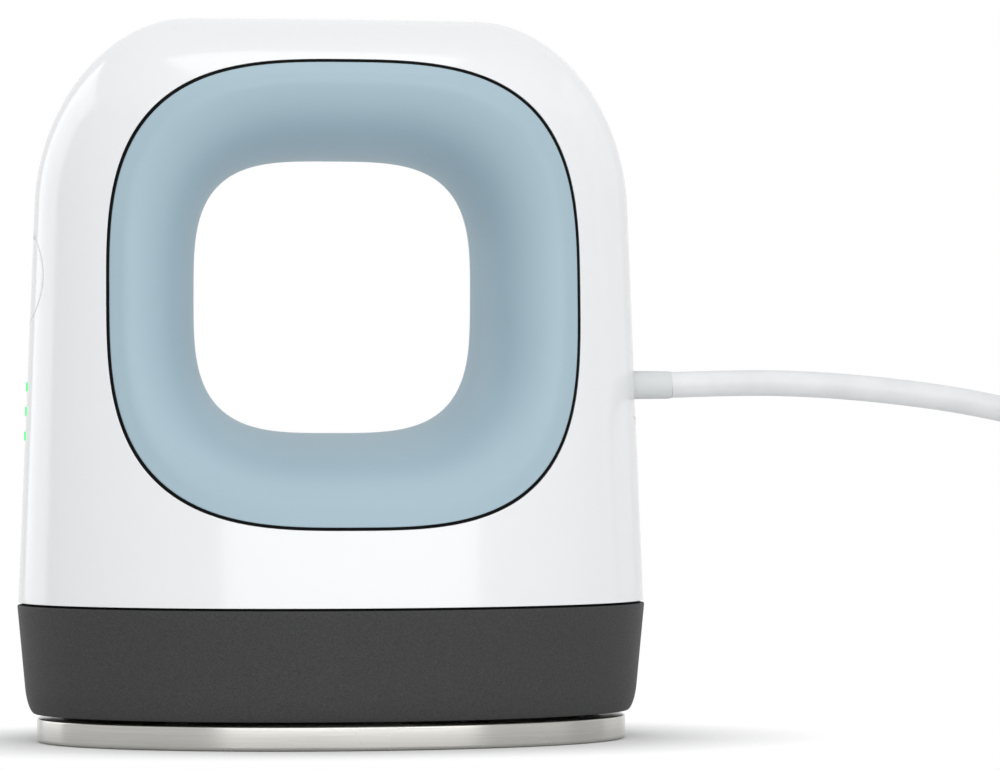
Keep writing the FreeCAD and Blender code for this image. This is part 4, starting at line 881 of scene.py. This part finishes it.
def painted_gap_shade(place):
    """Near-black rubber with faint clouds of tone. Painted shade: on the seals in the gaps round
    the grip linings, this near-black stands in for the shadow inside the gaps. The seam gasket
    along the parting line gets the same near-black as painted shade for its gap.
    """
    cloud = place.noise(300.0, 2.0)
    tone = cloud.clamped(0.3, 0.7).blend((0.004, 0.004, 0.004), (0.009, 0.009, 0.009))
    return {"Base Color": tone}


def lit_pin(place):
    """Green plastic that glows in its own colour."""
    cloud = place.noise(900.0, 1.0)
    glow = cloud.clamped(0.2, 0.8).blend((0.02, 0.75, 0.10), (0.06, 0.9, 0.2))
    return {"Base Color": glow, "Emission Color": glow}


def nickel(place):
    """Plated metal with fine lines along the blades."""
    lines = place.stretched(1.0, 30.0, 30.0).noise(400.0, 2.0)
    return {
        "Base Color": lines.clamped(0.3, 0.7).blend((0.62, 0.60, 0.56), (0.72, 0.70, 0.66)),
        "Roughness": lines.clamped(0.2, 0.8) * 0.12 + 0.22,
    }


# Studio


def area_light(name, place, target, size, power):
    """A soft rectangular light that faces a target; sizes in metres, power in watts."""
    data = bpy.data.lights.new(name, "AREA")
    data.shape = "RECTANGLE"
    data.size, data.size_y = size
    data.energy = power
    light = bpy.data.objects.new(name, data)
    light.location = place
    light.rotation_euler = (Vector(target) - Vector(place)).to_track_quat("-Z", "Y").to_euler()
    bpy.context.scene.collection.objects.link(light)


def background_rays(tree):
    """1 for the rays that show the plain white background, 0 for those that carry light."""
    path = tree.nodes.new("ShaderNodeLightPath")
    seen = Value(tree, path.outputs["Is Camera Ray"])
    for kind in ("Is Glossy Ray", "Is Transmission Ray"):
        seen = seen.larger(Value(tree, path.outputs[kind]))
    return seen


def make_studio():
    """White room: an even sky, soft boxes, and a floor that turns to plain white away from the
    plate and keeps the shadow beside it."""
    world = bpy.data.worlds.new("studio")
    bpy.context.scene.world = world
    world.use_nodes = True
    tree = world.node_tree
    tree.nodes.clear()
    out = tree.nodes.new("ShaderNodeOutputWorld")
    sky = tree.nodes.new("ShaderNodeBackground")
    white = tree.nodes.new("ShaderNodeBackground")
    mix = tree.nodes.new("ShaderNodeMixShader")
    sky.inputs["Color"].default_value = (0.97, 0.98, 1.0, 1.0)
    sky.inputs["Strength"].default_value = 0.40
    white.inputs["Color"].default_value = (1.0, 1.0, 1.0, 1.0)
    white.inputs["Strength"].default_value = 1.0
    tree.links.new(background_rays(tree).socket, mix.inputs[0])
    tree.links.new(sky.outputs[0], mix.inputs[1])
    tree.links.new(white.outputs[0], mix.inputs[2])
    tree.links.new(mix.outputs[0], out.inputs["Surface"])

    reach = np.array([-FLOOR_REACH, FLOOR_REACH])
    x, y = np.meshgrid(reach, reach)
    corners = np.stack([x, y, np.full_like(x, FLOOR_Z)], axis=-1)
    floor = grid_mesh("floor", corners, close_columns=False, flip=False)
    made = bpy.data.materials.new("floor_white")
    made.use_nodes = True
    tree = made.node_tree
    tree.nodes.clear()
    out = tree.nodes.new("ShaderNodeOutputMaterial")
    matt = tree.nodes.new("ShaderNodeBsdfDiffuse")
    matt.inputs["Color"].default_value = (0.90, 0.90, 0.90, 1.0)
    glow = tree.nodes.new("ShaderNodeEmission")
    glow.inputs["Color"].default_value = (1.0, 1.0, 1.0, 1.0)
    glow.inputs["Strength"].default_value = 1.0
    mix = tree.nodes.new("ShaderNodeMixShader")
    place = Value(tree, tree.nodes.new("ShaderNodeTexCoord").outputs["Object"])
    ovals = place.stretched(1 / (PLATE[0] * MM), 1 / (PLATE[1] * MM), 0.0)
    factor = background_rays(tree) * ovals.length().clamped(SHADOW_START, SHADOW_END)
    tree.links.new(factor.socket, mix.inputs[0])
    tree.links.new(matt.outputs[0], mix.inputs[1])
    tree.links.new(glow.outputs[0], mix.inputs[2])
    tree.links.new(mix.outputs[0], out.inputs["Surface"])
    paint(floor, made)

    area_light("box_above", (0.0, -0.2, 1.1), (0.0, 0.0, 0.05), (0.9, 0.9), 3.6)
    area_light("box_front", (0.16, -1.45, 0.55), (0.0, 0.0, 0.08), (1.9, 0.9), 11.5)
    area_light("box_left", (-1.0, 0.75, 0.45), (0.0, 0.0, 0.08), (0.9, 1.0), 3.4)
    area_light("box_right", (1.2, 0.45, 0.45), (0.0, 0.0, 0.08), (0.9, 1.0), 0.7)


make_camera()
cord, cord_length = make_cord()
boot = make_boot()
plug_block, plug_tail = make_plug()
MM * (side_of(CORD_Z) + BOOT_REACH)
shells = [
    make_shell("casing_front", "front_shell", mirrored=False),
    make_shell("casing_rear", "rear_shell", mirrored=True),
]
grips = [
    make_grip("grip_front", "front_grip_ring", mirrored=False),
    make_grip("grip_rear", "rear_grip_ring", mirrored=True),
]
skirt = make_skirt()
plate = make_plate()
button = make_button()

shell_white = material(
    "gloss_white",
    moulded((0.88, 0.89, 0.90), (0.86, 0.875, 0.885), 0.16),
    Coat_Weight=0.25,
    Coat_Roughness=0.05,
)
grip_soft = material(
    "grip_blue",
    moulded((0.415, 0.545, 0.615), (0.40, 0.53, 0.60), 0.42),
    Specular_IOR_Level=0.2,
)
skirt_grained = material("charcoal", charcoal, Specular_IOR_Level=0.15)
plate_brushed = material(
    "plate_satin",
    coated_plate,
    Metallic=1.0,
    Anisotropic=0.9,
    Anisotropic_Rotation=0.25,
)
sheath = material("soft_pvc", soft_pvc)
boot_matt = material(
    "boot_matt",
    moulded((0.70, 0.72, 0.715), (0.68, 0.70, 0.695), 0.6),
    Specular_IOR_Level=0.2,
)
plug_glossy = material("plug_gloss", moulded((0.84, 0.85, 0.86), (0.82, 0.83, 0.84), 0.25))
# painted shade: the grip seals and the seam gasket are near-black to stand in for the shadow inside
# their gaps
black = material("seal_black", painted_gap_shade, Roughness=0.9, Specular_IOR_Level=0.1)
lit_green = material("lit_pins", lit_pin, Emission_Strength=1.1, Roughness=0.3)
plated = material("blade_nickel", nickel, Metallic=1.0)

finishes = [
    (shell_white, [*shells, button]),
    (grip_soft, grips),
    (skirt_grained, [skirt]),
    (plate_brushed, [plate]),
    (sheath, [cord, plug_tail]),
    (boot_matt, [boot]),
    (plug_glossy, [plug_block]),
    (black, [nodes["grip_seals"], nodes["seam_gasket"]]),
    (lit_green, [nodes["light_guide"]]),
    (plated, [nodes["plug_blades"]]),
]
for finish, pieces in finishes:
    for piece in pieces:
        paint(piece, finish)
make_studio()

bpy.context.scene.view_settings.view_transform = "Standard"
